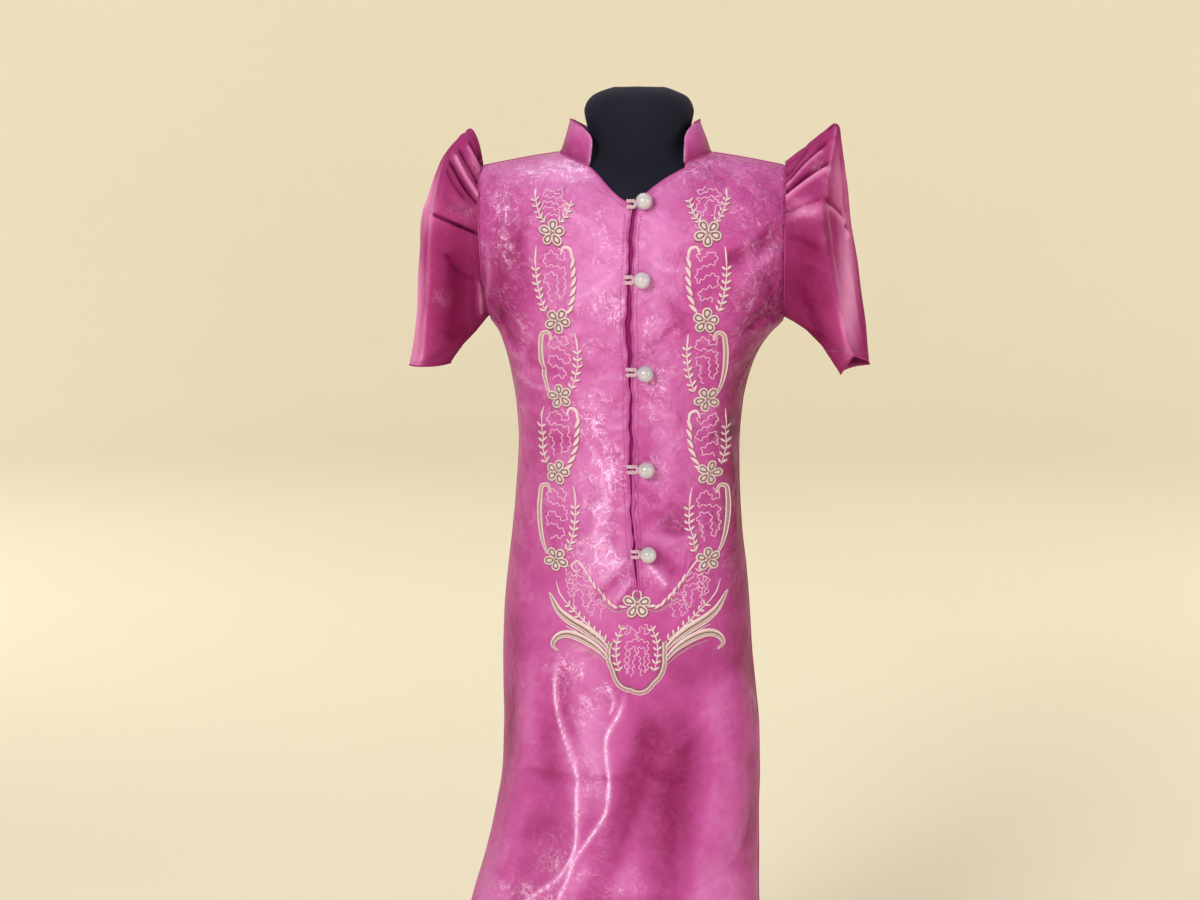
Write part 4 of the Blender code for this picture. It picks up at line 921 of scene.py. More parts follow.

# pleats and creases of the sleeves: photo pixels along each, half-width in pixels, height in mm, painted sheen
SLEEVE_FOLDS_R = [
    ([(449, 158), (457, 172), (466, 188), (481, 206)], 2.2, -5.4, 0), ([(453, 153), (462, 172), (471, 187), (481, 202)], 4.2, 4.0, 0.95),
    ([(459, 147), (468, 163), (481, 187)], 2.0, -5.0, 0), ([(466, 144), (474, 160), (483, 180)], 3.2, 2.8, 0.6),
    ([(447, 168), (454, 184), (466, 200)], 2.0, -2.6, 0), ([(470, 140), (478, 156), (484, 168)], 2.0, -2.8, 0),
    ([(430, 212), (440, 217), (463, 227), (484, 236)], 2.0, -5.8, 0), ([(440, 205), (452, 212), (468, 220), (485, 226)], 5.0, 0.8, 0.12),
    ([(452, 196), (466, 206), (482, 213)], 4.0, 0.8, 0.2), ([(456, 258), (455, 300), (450, 348)], 12, -1.1, 0),
    ([(478, 280), (480, 298), (481, 316)], 2.6, 2.2, 0.9), ([(434, 290), (444, 304), (452, 300)], 4, 1.0, 0.3),
    ([(445, 252), (452, 264), (462, 274), (478, 280)], 3.0, -1.4, 0), ([(436, 250), (446, 256), (456, 254)], 3.0, -0.9, 0),
    ([(424, 160), (420, 200), (414, 240)], 5, 1.2, 0.4), ([(436, 330), (452, 336), (470, 330)], 4.0, -0.5, 0),
    ([(445, 152), (435, 190), (430, 230), (427, 300), (421, 364)], 2.0, 0.4, 0.75),
]
SLEEVE_FOLDS_L = [
    ([(782, 197), (798, 181), (811, 171), (830, 161)], 2.2, -6.0, 0), ([(781, 203), (800, 188), (814, 178), (832, 167)], 3.2, 4.4, 0.7),
    ([(788, 182), (803, 164), (814, 152), (828, 140)], 2.4, -5.4, 0), ([(785, 190), (800, 172), (812, 161), (826, 150)], 3.0, 3.4, 0.5),
    ([(785, 178), (797, 162), (808, 148)], 1.8, -3.0, 0), ([(781, 213), (800, 206), (822, 196)], 3.0, -2.2, 0),
    ([(792, 190), (806, 178), (818, 171)], 1.6, -1.8, 0), ([(781, 222), (804, 214), (824, 212)], 5.0, 1.4, 0.2),
    ([(790, 276), (806, 302), (824, 346)], 8.0, -1.2, 0), ([(785, 236), (802, 240), (822, 252)], 5.0, -1.4, 0),
    ([(796, 262), (812, 262), (826, 270)], 4.0, 0.8, 0), ([(824, 196), (838, 210), (855, 228)], 3.2, -3.8, 0),
    ([(826, 204), (840, 218), (855, 236)], 3.6, 3.0, 0.5), ([(842, 150), (848, 190), (852, 214)], 4.6, -2.0, 0),
    ([(830, 250), (838, 290), (848, 335)], 5.0, 1.4, 0.2), ([(806, 330), (822, 338), (838, 352)], 4.0, -0.6, 0),
    ([(836, 128), (829, 170), (827, 206), (832, 250), (839, 297), (846, 352)], 2.0, 0.4, 0.75),
]
# painted sheen highlights on the sleeves: photo pixel, half-width and half-height in pixels, strength
SLEEVE_GLINTS = [
    (440, 300, 10, 9, 0.35), (472, 213, 10, 6, 0.5), (476, 166, 7, 10, 0.35), (456, 205, 10, 6, 0.35),
    (806, 210, 18, 10, 0.55), (795, 198, 10, 8, 0.35), (826, 240, 8, 8, 0.2), (846, 290, 8, 40, 0.3),
    (812, 160, 10, 10, 0.4), (826, 176, 8, 14, 0.3), (414, 290, 6, 60, 0.3),
]
# painted light (+) and painted shade (-) on the sleeves: photo pixel, half-width and half-height in pixels, amount
SLEEVE_PAINTED_SHADING = [
    (456, 292, 26, 62, -0.62), (464, 176, 18, 22, -0.10), (412, 300, 12, 90, 1.6), (424, 180, 12, 40, 1.5),
    (446, 220, 14, 6, 0.35), (482, 300, 4, 18, 0.8), (808, 268, 24, 52, -0.50), (806, 207, 18, 11, 0.80),
    (800, 168, 20, 20, 0.10), (842, 180, 11, 34, 0.75), (850, 280, 11, 74, 1.35), (812, 330, 18, 30, -0.25),
]


def pixel(p):
    """Where points in millimetres stand in the photograph's frame."""
    v = p / 1000 - eye
    far = -(v @ toward)
    return 600 + focal * (v @ right) / far, 450 - focal * (v @ upward) / far


def smooth_ring(p, times=2):
    for _ in range(times):
        p[:, 1:-1] = 0.25 * p[:, :-2] + 0.5 * p[:, 1:-1] + 0.25 * p[:, 2:]
    return p


def sleeve_grid(rows, ridge_bow):
    """Fine points of a sleeve: rows from the ridge to the hem, columns front seam to back seam."""
    out = -1 if rows[0][2] < 0 else 1
    count = len(rows)
    at = np.arange(0, count - 1 + 1e-9, 1 / 7)
    order = np.arange(count)
    cols = [read(curve([(k, rows[k][c]) for k in order], 1), at) for c in range(2, 8)]
    front, back = np.stack(cols[:3], -1), np.stack(cols[3:], -1)
    front[:, 0] += min(0, out) * 2.4 * np.clip((at - 5) / 3, 0, 1)
    seam = []
    for s in at:
        i = min(int(s), count - 2)
        t = s - i
        ends = []
        both = rows[i][0] is None and rows[i + 1][0] is None
        for k in (i, i + 1):
            if rows[k][0] is None:
                z = rows[k][1] if not both else rows[i][1] + (rows[i + 1][1] - rows[i][1]) * t
                edge = float(seams(z)[0 if out < 0 else 1])
                ends.append(np.array([edge + out * 0.35, -float(arm_depth(z)), z]))
            else:
                ends.append(np.array([rows[k][0], 0.0, rows[k][1]]))
        seam.append(ends[0] * (1 - t) + ends[1] * t)
    seam = np.array(seam)
    under = np.array([max(0.0, min(1.0, s - next(k for k in order if rows[k][0] is not None) + 1)) for s in at])
    bow = ridge_bow + (0.45 - ridge_bow) * np.minimum(1, at / 6)
    along = 0.30 + (0.12 - 0.30) * under
    pts = []
    for face, sign in ((front, 1), (back, -1)):
        s = seam * np.array([1, sign, 1])
        reach = np.stack([s[:, 0] + (face[:, 0] - s[:, 0]) * along, s[:, 1] + (face[:, 1] - s[:, 1]) * 0.80,
                          s[:, 2] + (face[:, 2] - s[:, 2]) * bow], -1)
        t = np.linspace(0, 1, 40)[None, :, None]
        pts.append((1 - t) ** 2 * s[:, None] + 2 * t * (1 - t) * reach[:, None] + t * t * face[:, None])
    t = np.linspace(0, 1, 34)[None, 1:-1, None]
    side = front[:, None] * (1 - t) + back[:, None] * t
    bulge = 3.5 * np.minimum(1, np.abs(back[:, 1] - front[:, 1]) / 120)
    side[..., 0] += out * bulge[:, None] * np.sin(math.pi * t[..., 0])
    p = smooth_ring(np.concatenate([pts[0], side, pts[1][:, ::-1]], 1))
    for tip in (front[0], back[0]):
        p[..., 2] += (1.6 if out < 0 else 3.2) * np.exp(-np.sum((p - tip) ** 2, -1) / 10.0 ** 2)
    return p, out, under, at


def line_pixels(folds):
    return [(rounded(f[0], 4), *f[1:]) for f in folds]


def sleeve_shape(p, lines, glints):
    """Move the sleeve's points by its pleats; the back face gets similar ones, a little apart. Also gives each point
    its painted sheen, painted ridge highlight and painted light and shade.
    """
    du = np.gradient(p, axis=1)
    dv = np.gradient(p, axis=0)
    n = np.cross(du, dv)
    n /= np.linalg.norm(n, axis=-1, keepdims=True) + 1e-9
    if n[20, 20, 1] > 0:
        n = -n
    columns = p.shape[1]
    is_back = np.arange(columns)[None, :] > columns / 2
    out, shine, ridge = np.zeros(p.shape[:2]), np.zeros(p.shape[:2]), np.zeros(p.shape[:2])
    front_x, front_y_ = pixel(p)
    mirrored = p * np.array([1, -1, 1])
    back_x, back_y_ = pixel(mirrored)
    px = np.where(is_back, back_x + 3, front_x)
    py = np.where(is_back, back_y_ - 5, front_y_)
    for line, width, height, glint in lines:
        width, height = width * 0.74, height * 0.72
        away, share = segments_away(line, px, py)
        fade = np.clip(np.minimum(share, 1 - share) / 0.12, 0, 1)
        fade = 0.15 + 0.85 * fade * fade * (3 - 2 * fade)
        near = np.exp(-(away / width) ** 2)
        out += height * fade * near
        if glint:
            shine = np.maximum(shine, 0.5 * glint * np.exp(-(away / (width * 0.9)) ** 2))
            ridge = np.maximum(ridge, 0.55 * glint * fade * np.exp(-(away / (0.5 + width * 0.35)) ** 2))
    for cx, cy, hx, hy, strength in glints:
        shine = np.maximum(shine, strength * np.exp(-((px - cx) / hx) ** 2 - ((py - cy) / hy) ** 2))
    # painted light and shade: the listed spots, with deeper painted shade in the pleats' troughs and painted light on
    # their crests
    tone = np.full(p.shape[:2], -0.25)
    for cx, cy, hx, hy, amount in SLEEVE_PAINTED_SHADING:
        tone += amount * np.exp(-((px - cx) / hx) ** 2 - ((py - cy) / hy) ** 2)
    tone = np.clip(tone + np.clip(out, -4, 4) * 0.26, -1.3, 1.2)
    slow = 0.5 * np.sin(px / 9 + py / 14) + 0.4 * np.sin(py / 11 - px / 17 + p[..., 1] / 25) + 0.3 * np.sin(p[..., 1] / 13)
    out += 0.45 * slow
    j = np.arange(columns)
    edge = np.clip(np.minimum(j, columns - 1 - j) / 2.0, 0, 1)[None, :]
    return p + n * (out * edge)[..., None], n, shine, ridge, tone


def build_sleeve(name, rows, ridge_bow, folds, node):
    p, out, under, at = sleeve_grid(rows, ridge_bow)
    p, n, shine, ridge, tone = sleeve_shape(p, line_pixels(folds), SLEEVE_GLINTS)
    count, columns = p.shape[:2]
    points, shines, ridges, painted_shades, index, faces = [], [], [], [], {}, []
    for i in range(count):
        for j in range(columns):
            if under[i] >= 1 and j == columns - 1:
                index[i, j] = index[i, 0]
                continue
            index[i, j] = len(points)
            points.append(p[i, j])
            shines.append(shine[i, j])
            ridges.append(ridge[i, j])
            painted_shades.append(tone[i, j])
    for i in range(count - 1):
        for j in range(columns - 1):
            f = []
            for v in (index[i, j], index[i + 1, j], index[i + 1, j + 1], index[i, j + 1]):
                if v not in f:
                    f.append(v)
            faces.append(tuple(f))
    # the rounded ridge along the top, between the front face's first row and the back face's
    cross = 33
    top = {}
    for j in range(40):
        a, b = p[0, j], p[0, columns - 1 - j]
        for k in range(cross + 1):
            if k == 0:
                top[j, k] = index[0, j]
            elif k == cross:
                top[j, k] = index[0, columns - 1 - j]
            else:
                t = k / cross
                top[j, k] = len(points)
                rise = 3.6 * math.sin(math.pi * t) ** 0.8 * min(1.0, (39 - j) / 9) ** 0.6
                points.append(a * (1 - t) + b * t + np.array([0, 0, rise]))
                shines.append(float(shine[0, j]))
                ridges.append(0.0)
                painted_shades.append(float(tone[0, j]))
    for j in range(39):
        for k in range(cross):
            faces.append((top[j, k], top[j + 1, k], top[j + 1, k + 1], top[j, k + 1])[::-1])
    for k in range(cross):
        f = []
        for v in (index[0, 39 + k], index[0, 40 + k], top[39, k + 1], top[39, k]):
            if v not in f:
                f.append(v)
        if len(f) > 2:
            faces.append(tuple(f))
    if out < 0:
        faces = [f[::-1] for f in faces]
    thing = make_mesh(name, points, faces, SLEEVE_SATIN_PAINTED_SHADING,
                      attributes={"glint": shines, "ridge": ridges, "tone": painted_shades, "crumple": 0.2})
    place(solidify(thing, CLOTH), node)
    return thing, p, n


def ring_point(angle, part, out=0.0):
    """Outside of the collar, as in the CAD source."""
    x = RING_X + RING_HALF_X * math.sin(angle)
    y = RING_HALF_Y * math.cos(angle)
    side = 4 if y > 0 else 3
    u = float(u_at(x, side, CHEST_Z))
    for _ in range(6):
        depth = abs(float(surface(side, u, CHEST_Z, 0)[1]))
        rise = math.acos(min(1.0, abs(y) / depth))
        u += (x - float(surface(side, u, CHEST_Z, max(rise, 0.01))[0])) / 180
    base = CHEST_Z + (float(shoulder_z(x)) - CHEST_Z) * math.sin(rise) + 0.6
    lean = 9.5 * part - out
    return np.array([x - lean * math.sin(angle), y - lean * math.cos(angle), base + 28 * part])


def build_collar():
    reach_l = math.pi - math.asin(OPEN_LEFT / RING_HALF_X)
    reach_r = math.pi - math.asin(OPEN_RIGHT / RING_HALF_X)
    steps = np.linspace(-1, 1, 161)
    parts = np.linspace(0, 1, 15)
    cut_l, cut_r = np.array(COLLAR_ENDS)[:, 1], np.array(COLLAR_ENDS)[:, 2]
    at = np.array(COLLAR_ENDS)[:, 0]
    points, shine, rim_highlight = [], [], []
    for part in parts:
        for s in steps:
            cut = np.interp(part, at, cut_l if s < 0 else cut_r)
            near = max(0.0, (abs(s) - 0.74) / 0.26)
            angle = s * (reach_l if s < 0 else reach_r) * (1 - cut * near)
            wave = 0.5 * math.sin(9 * angle + 3 * part) + 0.35 * math.sin(17 * angle - 4 * part + 1)
            points.append(ring_point(angle, part, wave * (0.2 + 0.8 * part)))
            shine.append(0.03)
            # a painted highlight along the collar's ends and top edge
            rim_highlight.append(0.62 * max(0.0, 1 - (1 - abs(s)) / 0.03, (part - 0.93) / 0.09))
    # the tone attribute rises from painted shade at the collar's foot to painted light at its top
    thing = make_mesh("dress_collar", points, grid(len(parts), len(steps), flip=True), PINK,
                      attributes={"glint": shine, "ridge": rim_highlight, "crumple": 0.05,
                                  "tone": [-0.85 + 1.25 * p for p in np.repeat(parts, len(steps))]})
    place(solidify(thing, 1.2), "collar")
    return np.array(points).reshape(len(parts), len(steps), 3)


def build_underlap():
    rows = [(z, 0.0) for z in np.arange(540, 878, 4.0)] + [(CHEST_Z, r) for r in np.linspace(0.01, 0.38, 12)]
    spots = np.linspace(-11, 17, 29)
    u, z, rise = [], [], []
    for at, up in rows:
        middle = float(read(SLIT_L, at))
        u.append(u_at(middle + spots, 3, at))
        z.append(np.full(spots.shape, at))
        rise.append(np.full(spots.shape, up))
    # its colour is painted shade inside the slit, with a faint even painted sheen
    p, (shine,), _ = panel_points(3, np.array(u), np.array(z), np.array(rise),
                                  lambda x, h: (np.minimum(crease(x, h)[0], 0.4) - 1.75, np.full(x.shape, 0.05)))
    thing = make_mesh("dress_underlap", p.reshape(-1, 3), grid(*np.array(u).shape), UNDERLAP_PAINTED_SHADE,
                      attributes={"glint": shine.ravel(), "crumple": 0.2})
    return place(solidify(thing, 0.9), "placket_underlap")


def tube(points, radius, sides=8, closed=False):
    """Points and faces of a round tube along a line, radius a number or one for each point."""
    p = np.asarray(points, float)
    n = len(p)
    radius = np.broadcast_to(np.asarray(radius, float), (n,))
    tangent = np.gradient(p, axis=0)
    if closed:
        tangent[0] = tangent[-1] = p[1] - p[-2]
    tangent /= np.linalg.norm(tangent, axis=1, keepdims=True) + 1e-9
    up = np.array([0.13, 0.22, 0.97])
    side = np.cross(tangent, up)
    side /= np.linalg.norm(side, axis=1, keepdims=True) + 1e-9
    for i in range(1, n):
        s = side[i - 1] - tangent[i] * (side[i - 1] @ tangent[i])
        side[i] = s / (np.linalg.norm(s) + 1e-9)
    other = np.cross(tangent, side)
    w = np.linspace(0, 2 * math.pi, sides, endpoint=False)
    ring = (side[:, None] * np.cos(w)[None, :, None] + other[:, None] * np.sin(w)[None, :, None]) * radius[:, None, None]
    out = (p[:, None] + ring).reshape(-1, 3)
    faces = []
    for i in range(n - 1):
        for k in range(sides):
            m = (k + 1) % sides
            faces.append((i * sides + k, i * sides + m, (i + 1) * sides + m, (i + 1) * sides + k))
    faces.append(tuple(range(sides - 1, -1, -1)))
    faces.append(tuple(range((n - 1) * sides, n * sides)))
    length = np.concatenate([[0], np.cumsum(np.linalg.norm(np.diff(p, axis=0), axis=1))])
    uv = np.stack([np.repeat(length, sides), np.tile(np.arange(sides) / sides, n)], -1)
    return out, faces, uv


class Bundle:
    """Many small meshes gathered in one piece."""

    def __init__(self):
        self.points, self.faces, self.uv, self.count = [], [], [], 0

    def add(self, points, faces, uv=None):
        self.points.append(np.asarray(points, float))
        self.uv.append(np.zeros((len(points), 2)) if uv is None else uv)
        self.faces.extend(tuple(v + self.count for v in f) for f in faces)
        self.count += len(points)

    def build(self, name, material, node=None, slot=None):
        thing = make_mesh(name, np.vstack(self.points), self.faces, material, uv=np.vstack(self.uv))
        return place(thing, node)


def on_front(x, z, lift=0.0):
    """Points of the creased front, raised by lift, and its normals."""
    x, z = np.asarray(x, float), np.asarray(z, float)
    n = front_normal(x, z)
    base = np.stack([x, front_y(x, z), z], -1)
    return base + n * (crease(x, z)[0] + lift)[..., None], n


def even(path, step):
    """The path's points again, an even step apart."""
    p = np.asarray(path, float)
    run = np.concatenate([[0], np.cumsum(np.linalg.norm(np.diff(p, axis=0), axis=1))])
    n = max(4, int(run[-1] / step) + 1)
    at = np.linspace(0, run[-1], n)
    return np.stack([np.interp(at, run, p[:, k]) for k in range(p.shape[1])], -1)


# the shade bundle is darker thread laid a little below other strokes as a painted shadow
THREAD = {"cream": Bundle(), "taupe": Bundle(), "gold": Bundle(), "pink": Bundle(), "shade": Bundle()}
SECTION = np.array([(-0.5, -0.35), (-0.40, 0.45), (-0.15, 0.95), (0.15, 0.95), (0.40, 0.45), (0.5, -0.35)])


def stroke(kind, path, width, height=0.55, lift=0.0, step=0.9):
    """A raised line of satin stitch on the front; width is a number or a list along the path."""
    p = even(path, step)
    t = np.linspace(0, 1, len(p))
    w = np.interp(t, np.linspace(0, 1, len(np.atleast_1d(width))), np.atleast_1d(width)) if np.ndim(width) else np.full(len(p), width)
    pts, n = on_front(p[:, 0], p[:, 1], lift)
    tangent = np.gradient(pts, axis=0)
    tangent /= np.linalg.norm(tangent, axis=1, keepdims=True) + 1e-9
    side = np.cross(n, tangent)
    side /= np.linalg.norm(side, axis=1, keepdims=True) + 1e-9
    high = height * np.clip(w / max(w.max(), 1e-6), 0.25, 1)
    ring = (pts[:, None] + side[:, None] * (w[:, None] * SECTION[:, 0])[..., None]
            + n[:, None] * (high[:, None] * SECTION[:, 1])[..., None])
    run = np.concatenate([[0], np.cumsum(np.linalg.norm(np.diff(pts, axis=0), axis=1))])
    uv = np.stack([np.repeat(run, len(SECTION)), np.tile(SECTION[:, 0], len(p))], -1)
    THREAD[kind].add(ring.reshape(-1, 3), grid(len(p), len(SECTION), flip=True), uv)


LENS = [0.05, 0.55, 0.9, 1.0, 0.92, 0.6, 0.05]
PETAL = [0.30, 0.52, 0.78, 0.96, 1.0, 0.88, 0.45]


def leaf(kind, x, z, angle, length, width, height=0.6, lift=0.0):
    d = np.array([math.cos(angle), math.sin(angle)])
    mid = np.array([x, z]) + d * length / 2 + np.array([-d[1], d[0]]) * length * 0.06
    path = rounded([(x, z), tuple(mid), (x + d[0] * length, z + d[1] * length)], 4)
    stroke(kind, path, [width * v for v in LENS], height, lift, 0.8)


def shaded_leaf(x, z, angle, length, width, height=0.8):
    """A cream leaf with a painted shadow in darker thread along its lower side."""
    leaf("shade", x + 0.45, z - 0.75, angle, length * 1.04, width * 1.12, height * 0.4)
    leaf("cream", x, z, angle, length, width, height)


def flower(x, z, radius, turn):
    """A plain five-petal flower: cream petals over a painted shadow of darker thread, a darker ring in each and knots
    in the middle.
    """
    for k in range(5):
        a = turn + 2 * math.pi * k / 5 + rng.uniform(-0.08, 0.08)
        long = radius * rng.uniform(0.92, 1.06)
        wide = radius * rng.uniform(0.66, 0.76)
        d, s = np.array([math.cos(a), math.sin(a)]), np.array([-math.sin(a), math.cos(a)])
        heart = np.array([x, z])
        for kind, low, grow in (("shade", -0.9, 1.1), ("cream", 0.0, 0.0)):
            path = [heart + d * t + np.array([0.35, low]) * (low != 0) for t in np.linspace(1.0, long - 0.4 + grow * 0.4, 12)]
            stroke(kind, path, [(wide + grow) * v for v in PETAL], 0.55 if kind == "cream" else 0.25, 0.0, 0.8)
        for kind, scale, thick, high, lift in (("cream", 1.0, 1.5, 0.70, 0.35), ("taupe", 0.66, 1.45, 0.50, 0.62)):
            ring = []
            for phi in np.linspace(0, 2 * math.pi, 24):
                reach = (1 - math.cos(phi)) / 2
                from_heart = radius * (0.26 if scale < 1 else 0.10)
                span = (long - from_heart) * (0.74 if scale < 1 else 0.93)
                ring.append(heart + d * (from_heart + span * reach)
                            + s * wide * 0.46 * scale * math.sin(phi) * (0.6 + 0.5 * reach))
            stroke(kind, ring, thick, high, lift, 0.8)
    for k in range(7):
        a = 2 * math.pi * k / 6
        r = 0 if k == 6 else 1.5
        c, n = on_front(np.array([x + r * math.cos(a)]), np.array([z + r * math.sin(a)]), 0.75)
        knot("cream" if k % 2 else "gold", c[0], 0.8)


def knot(kind, centre, radius):
    pts, faces = [], []
    m, n = 5, 8
    for i in range(m + 1):
        lat = -math.pi / 2 + math.pi * i / m
        for k in range(n):
            w = 2 * math.pi * k / n
            pts.append(centre + radius * np.array([math.cos(lat) * math.cos(w), math.cos(lat) * math.sin(w), math.sin(lat)]))
    for i in range(m):
        for k in range(n):
            faces.append((i * n + k, i * n + (k + 1) % n, (i + 1) * n + (k + 1) % n, (i + 1) * n + k))
    THREAD[kind].add(pts, faces, np.tile([[0.0, 0.0]], (len(pts), 1)))


def sprig(path, size=5.6, start=0.12, pitch=6.1):
    """A stem with pairs of small leaves pointing along it."""
    p = even(rounded(path, 8), 1.0)
    stroke("cream", p, [0.7, 1.2, 1.3, 1.2, 0.9], 0.6)
    at = float(int(len(p) * start))
    while at < len(p) - 2:
        i = int(at)
        d = p[min(i + 2, len(p) - 1)] - p[max(i - 2, 0)]
        a = math.atan2(d[1], d[0])
        for sign in (-1, 1):
            swing = rng.uniform(0.78, 0.98)
            shaded_leaf(p[i][0], p[i][1], a + sign * swing, size * rng.uniform(0.92, 1.1), size * 0.43)
        at += pitch * rng.uniform(0.94, 1.06)


def rope(path, size=11.0, slant=0.38, pitch=8.0):
    """A twisted rope: slanting pads of stitches laid end over end."""
    p = even(rounded(path, 8), 1.0)
    at = 2.0
    while at < len(p) - 2:
        i = int(at)
        d = p[min(i + 2, len(p) - 1)] - p[max(i - 2, 0)]
        a = math.atan2(d[1], d[0]) + slant
        x, z = p[i] - np.array([math.cos(a), math.sin(a)]) * size * 0.4
        # a pad of darker thread under each one, a little lower and to the right, is a painted shadow
        leaf("shade", x + 0.5, z - 0.7, a, size * 1.02, size * 0.38, 0.3)
        leaf("cream", x, z, a, size, size * 0.34, 1.0)
        at += pitch


def ribbon(path, wide=3.4):
    """A stitched ribbon: a darker body between two cream edges, thin at both ends."""
    p = even(rounded(path, 8), 1.0)
    t = np.linspace(0, 1, len(p))
    w = wide * np.clip(np.sin(math.pi * (0.06 + 0.88 * t)) ** 0.6, 0.25, 1)
    d = np.gradient(p, axis=0)
    d /= np.linalg.norm(d, axis=1, keepdims=True) + 1e-9
    s = np.stack([-d[:, 1], d[:, 0]], -1)
    stroke("gold", p, list(w * 0.9), 0.45)
    for sign in (-1, 1):
        stroke("cream", p + s * (sign * w / 2)[:, None], [1.1, 1.8, 1.9, 1.6, 1.0], 0.85)


def frond(path, wide):
    """A long leaf of satin stitch: a tan body, a broad cream upper edge, a thin lower one and a dark vein."""
    p = even(rounded(path, 8), 1.0)
    t = np.linspace(0, 1, len(p))
    w = wide * np.clip(np.sin(math.pi * (0.03 + 0.94 * t)) ** 0.8, 0.08, 1)
    d = np.gradient(p, axis=0)
    d /= np.linalg.norm(d, axis=1, keepdims=True) + 1e-9
    s = np.stack([-d[:, 1], d[:, 0]], -1)
    low = np.where(s[len(p) // 2, 1] > 0, -1, 1)
    # the darker thread a little lower and to the right is a painted shadow
    stroke("shade", p + np.array([0.3, -0.8]), list(w + 0.7), 0.25)
    stroke("gold", p, list(w * 0.92), 0.60)
    stroke("cream", p + s * (-low * w * 0.31)[:, None], list(w * 0.36 + 0.3), 0.80, 0.10)
    stroke("cream", p + s * (low * w * 0.42)[:, None], list(w * 0.14 + 0.45), 0.75, 0.10)
    stroke("taupe", (p + s * (-low * w * 0.02)[:, None])[3:-3], list(w[3:-3] * 0.14 + 0.2), 0.30, 0.45)
    stroke("cream", (p + s * (low * w * 0.17)[:, None])[4:-4], list(w[4:-4] * 0.08 + 0.3), 0.40, 0.45)


#   across -1..1, down 0..1: two plain wandering lines that fill an oval without crossing themselves
WANDER = [
    [(0.20, 0.02), (0.55, 0.06), (0.80, 0.16), (0.42, 0.22), (0.05, 0.10), (-0.35, 0.07), (-0.80, 0.18), (-0.72, 0.31),
     (-0.20, 0.30), (0.35, 0.33), (0.78, 0.36), (0.70, 0.52), (0.86, 0.66), (0.66, 0.82), (0.34, 0.88), (0.20, 0.70),
     (0.22, 0.50), (-0.10, 0.44), (-0.60, 0.44), (-0.82, 0.56), (-0.45, 0.66), (-0.50, 0.80), (-0.28, 0.96)],
    [(-0.30, 0.02), (-0.72, 0.10), (-0.60, 0.22), (-0.10, 0.16), (0.30, 0.06), (0.76, 0.14), (0.60, 0.28), (0.05, 0.30),
     (-0.55, 0.36), (-0.84, 0.48), (-0.62, 0.60), (-0.10, 0.52), (0.40, 0.44), (0.82, 0.52), (0.72, 0.68), (0.25, 0.66),
     (-0.15, 0.72), (-0.55, 0.78), (-0.30, 0.90), (0.20, 0.86), (0.50, 0.94)],
]


def meander(x, top, bottom, half, seed, width=1.1):
    """A thin line of thread that wanders down an oval with small wriggles."""
    r = random.Random(seed)
    base = WANDER[seed % 2]
    flip = -1 if (seed // 2) % 2 else 1
    pts = [(x + flip * half * a + r.uniform(-0.6, 0.6), top + (bottom - top) * b + r.uniform(-0.6, 0.6)) for a, b in base]
    p = even(rounded(pts, 10), 0.6)
    d = np.gradient(p, axis=0)
    d /= np.linalg.norm(d, axis=1, keepdims=True) + 1e-9
    run = np.arange(len(p)) * 0.6
    a, b = r.uniform(0, 6.28), r.uniform(0, 6.28)
    swing = 0.9 * np.sin(run * 2 * math.pi / 5.8 + a) + 0.25 * np.sin(run * 2 * math.pi / 3.3 + b)
    p = p + np.stack([-d[:, 1], d[:, 0]], -1) * swing[:, None]
    stroke("pink", p, width, 0.6, 0.0, 0.7)


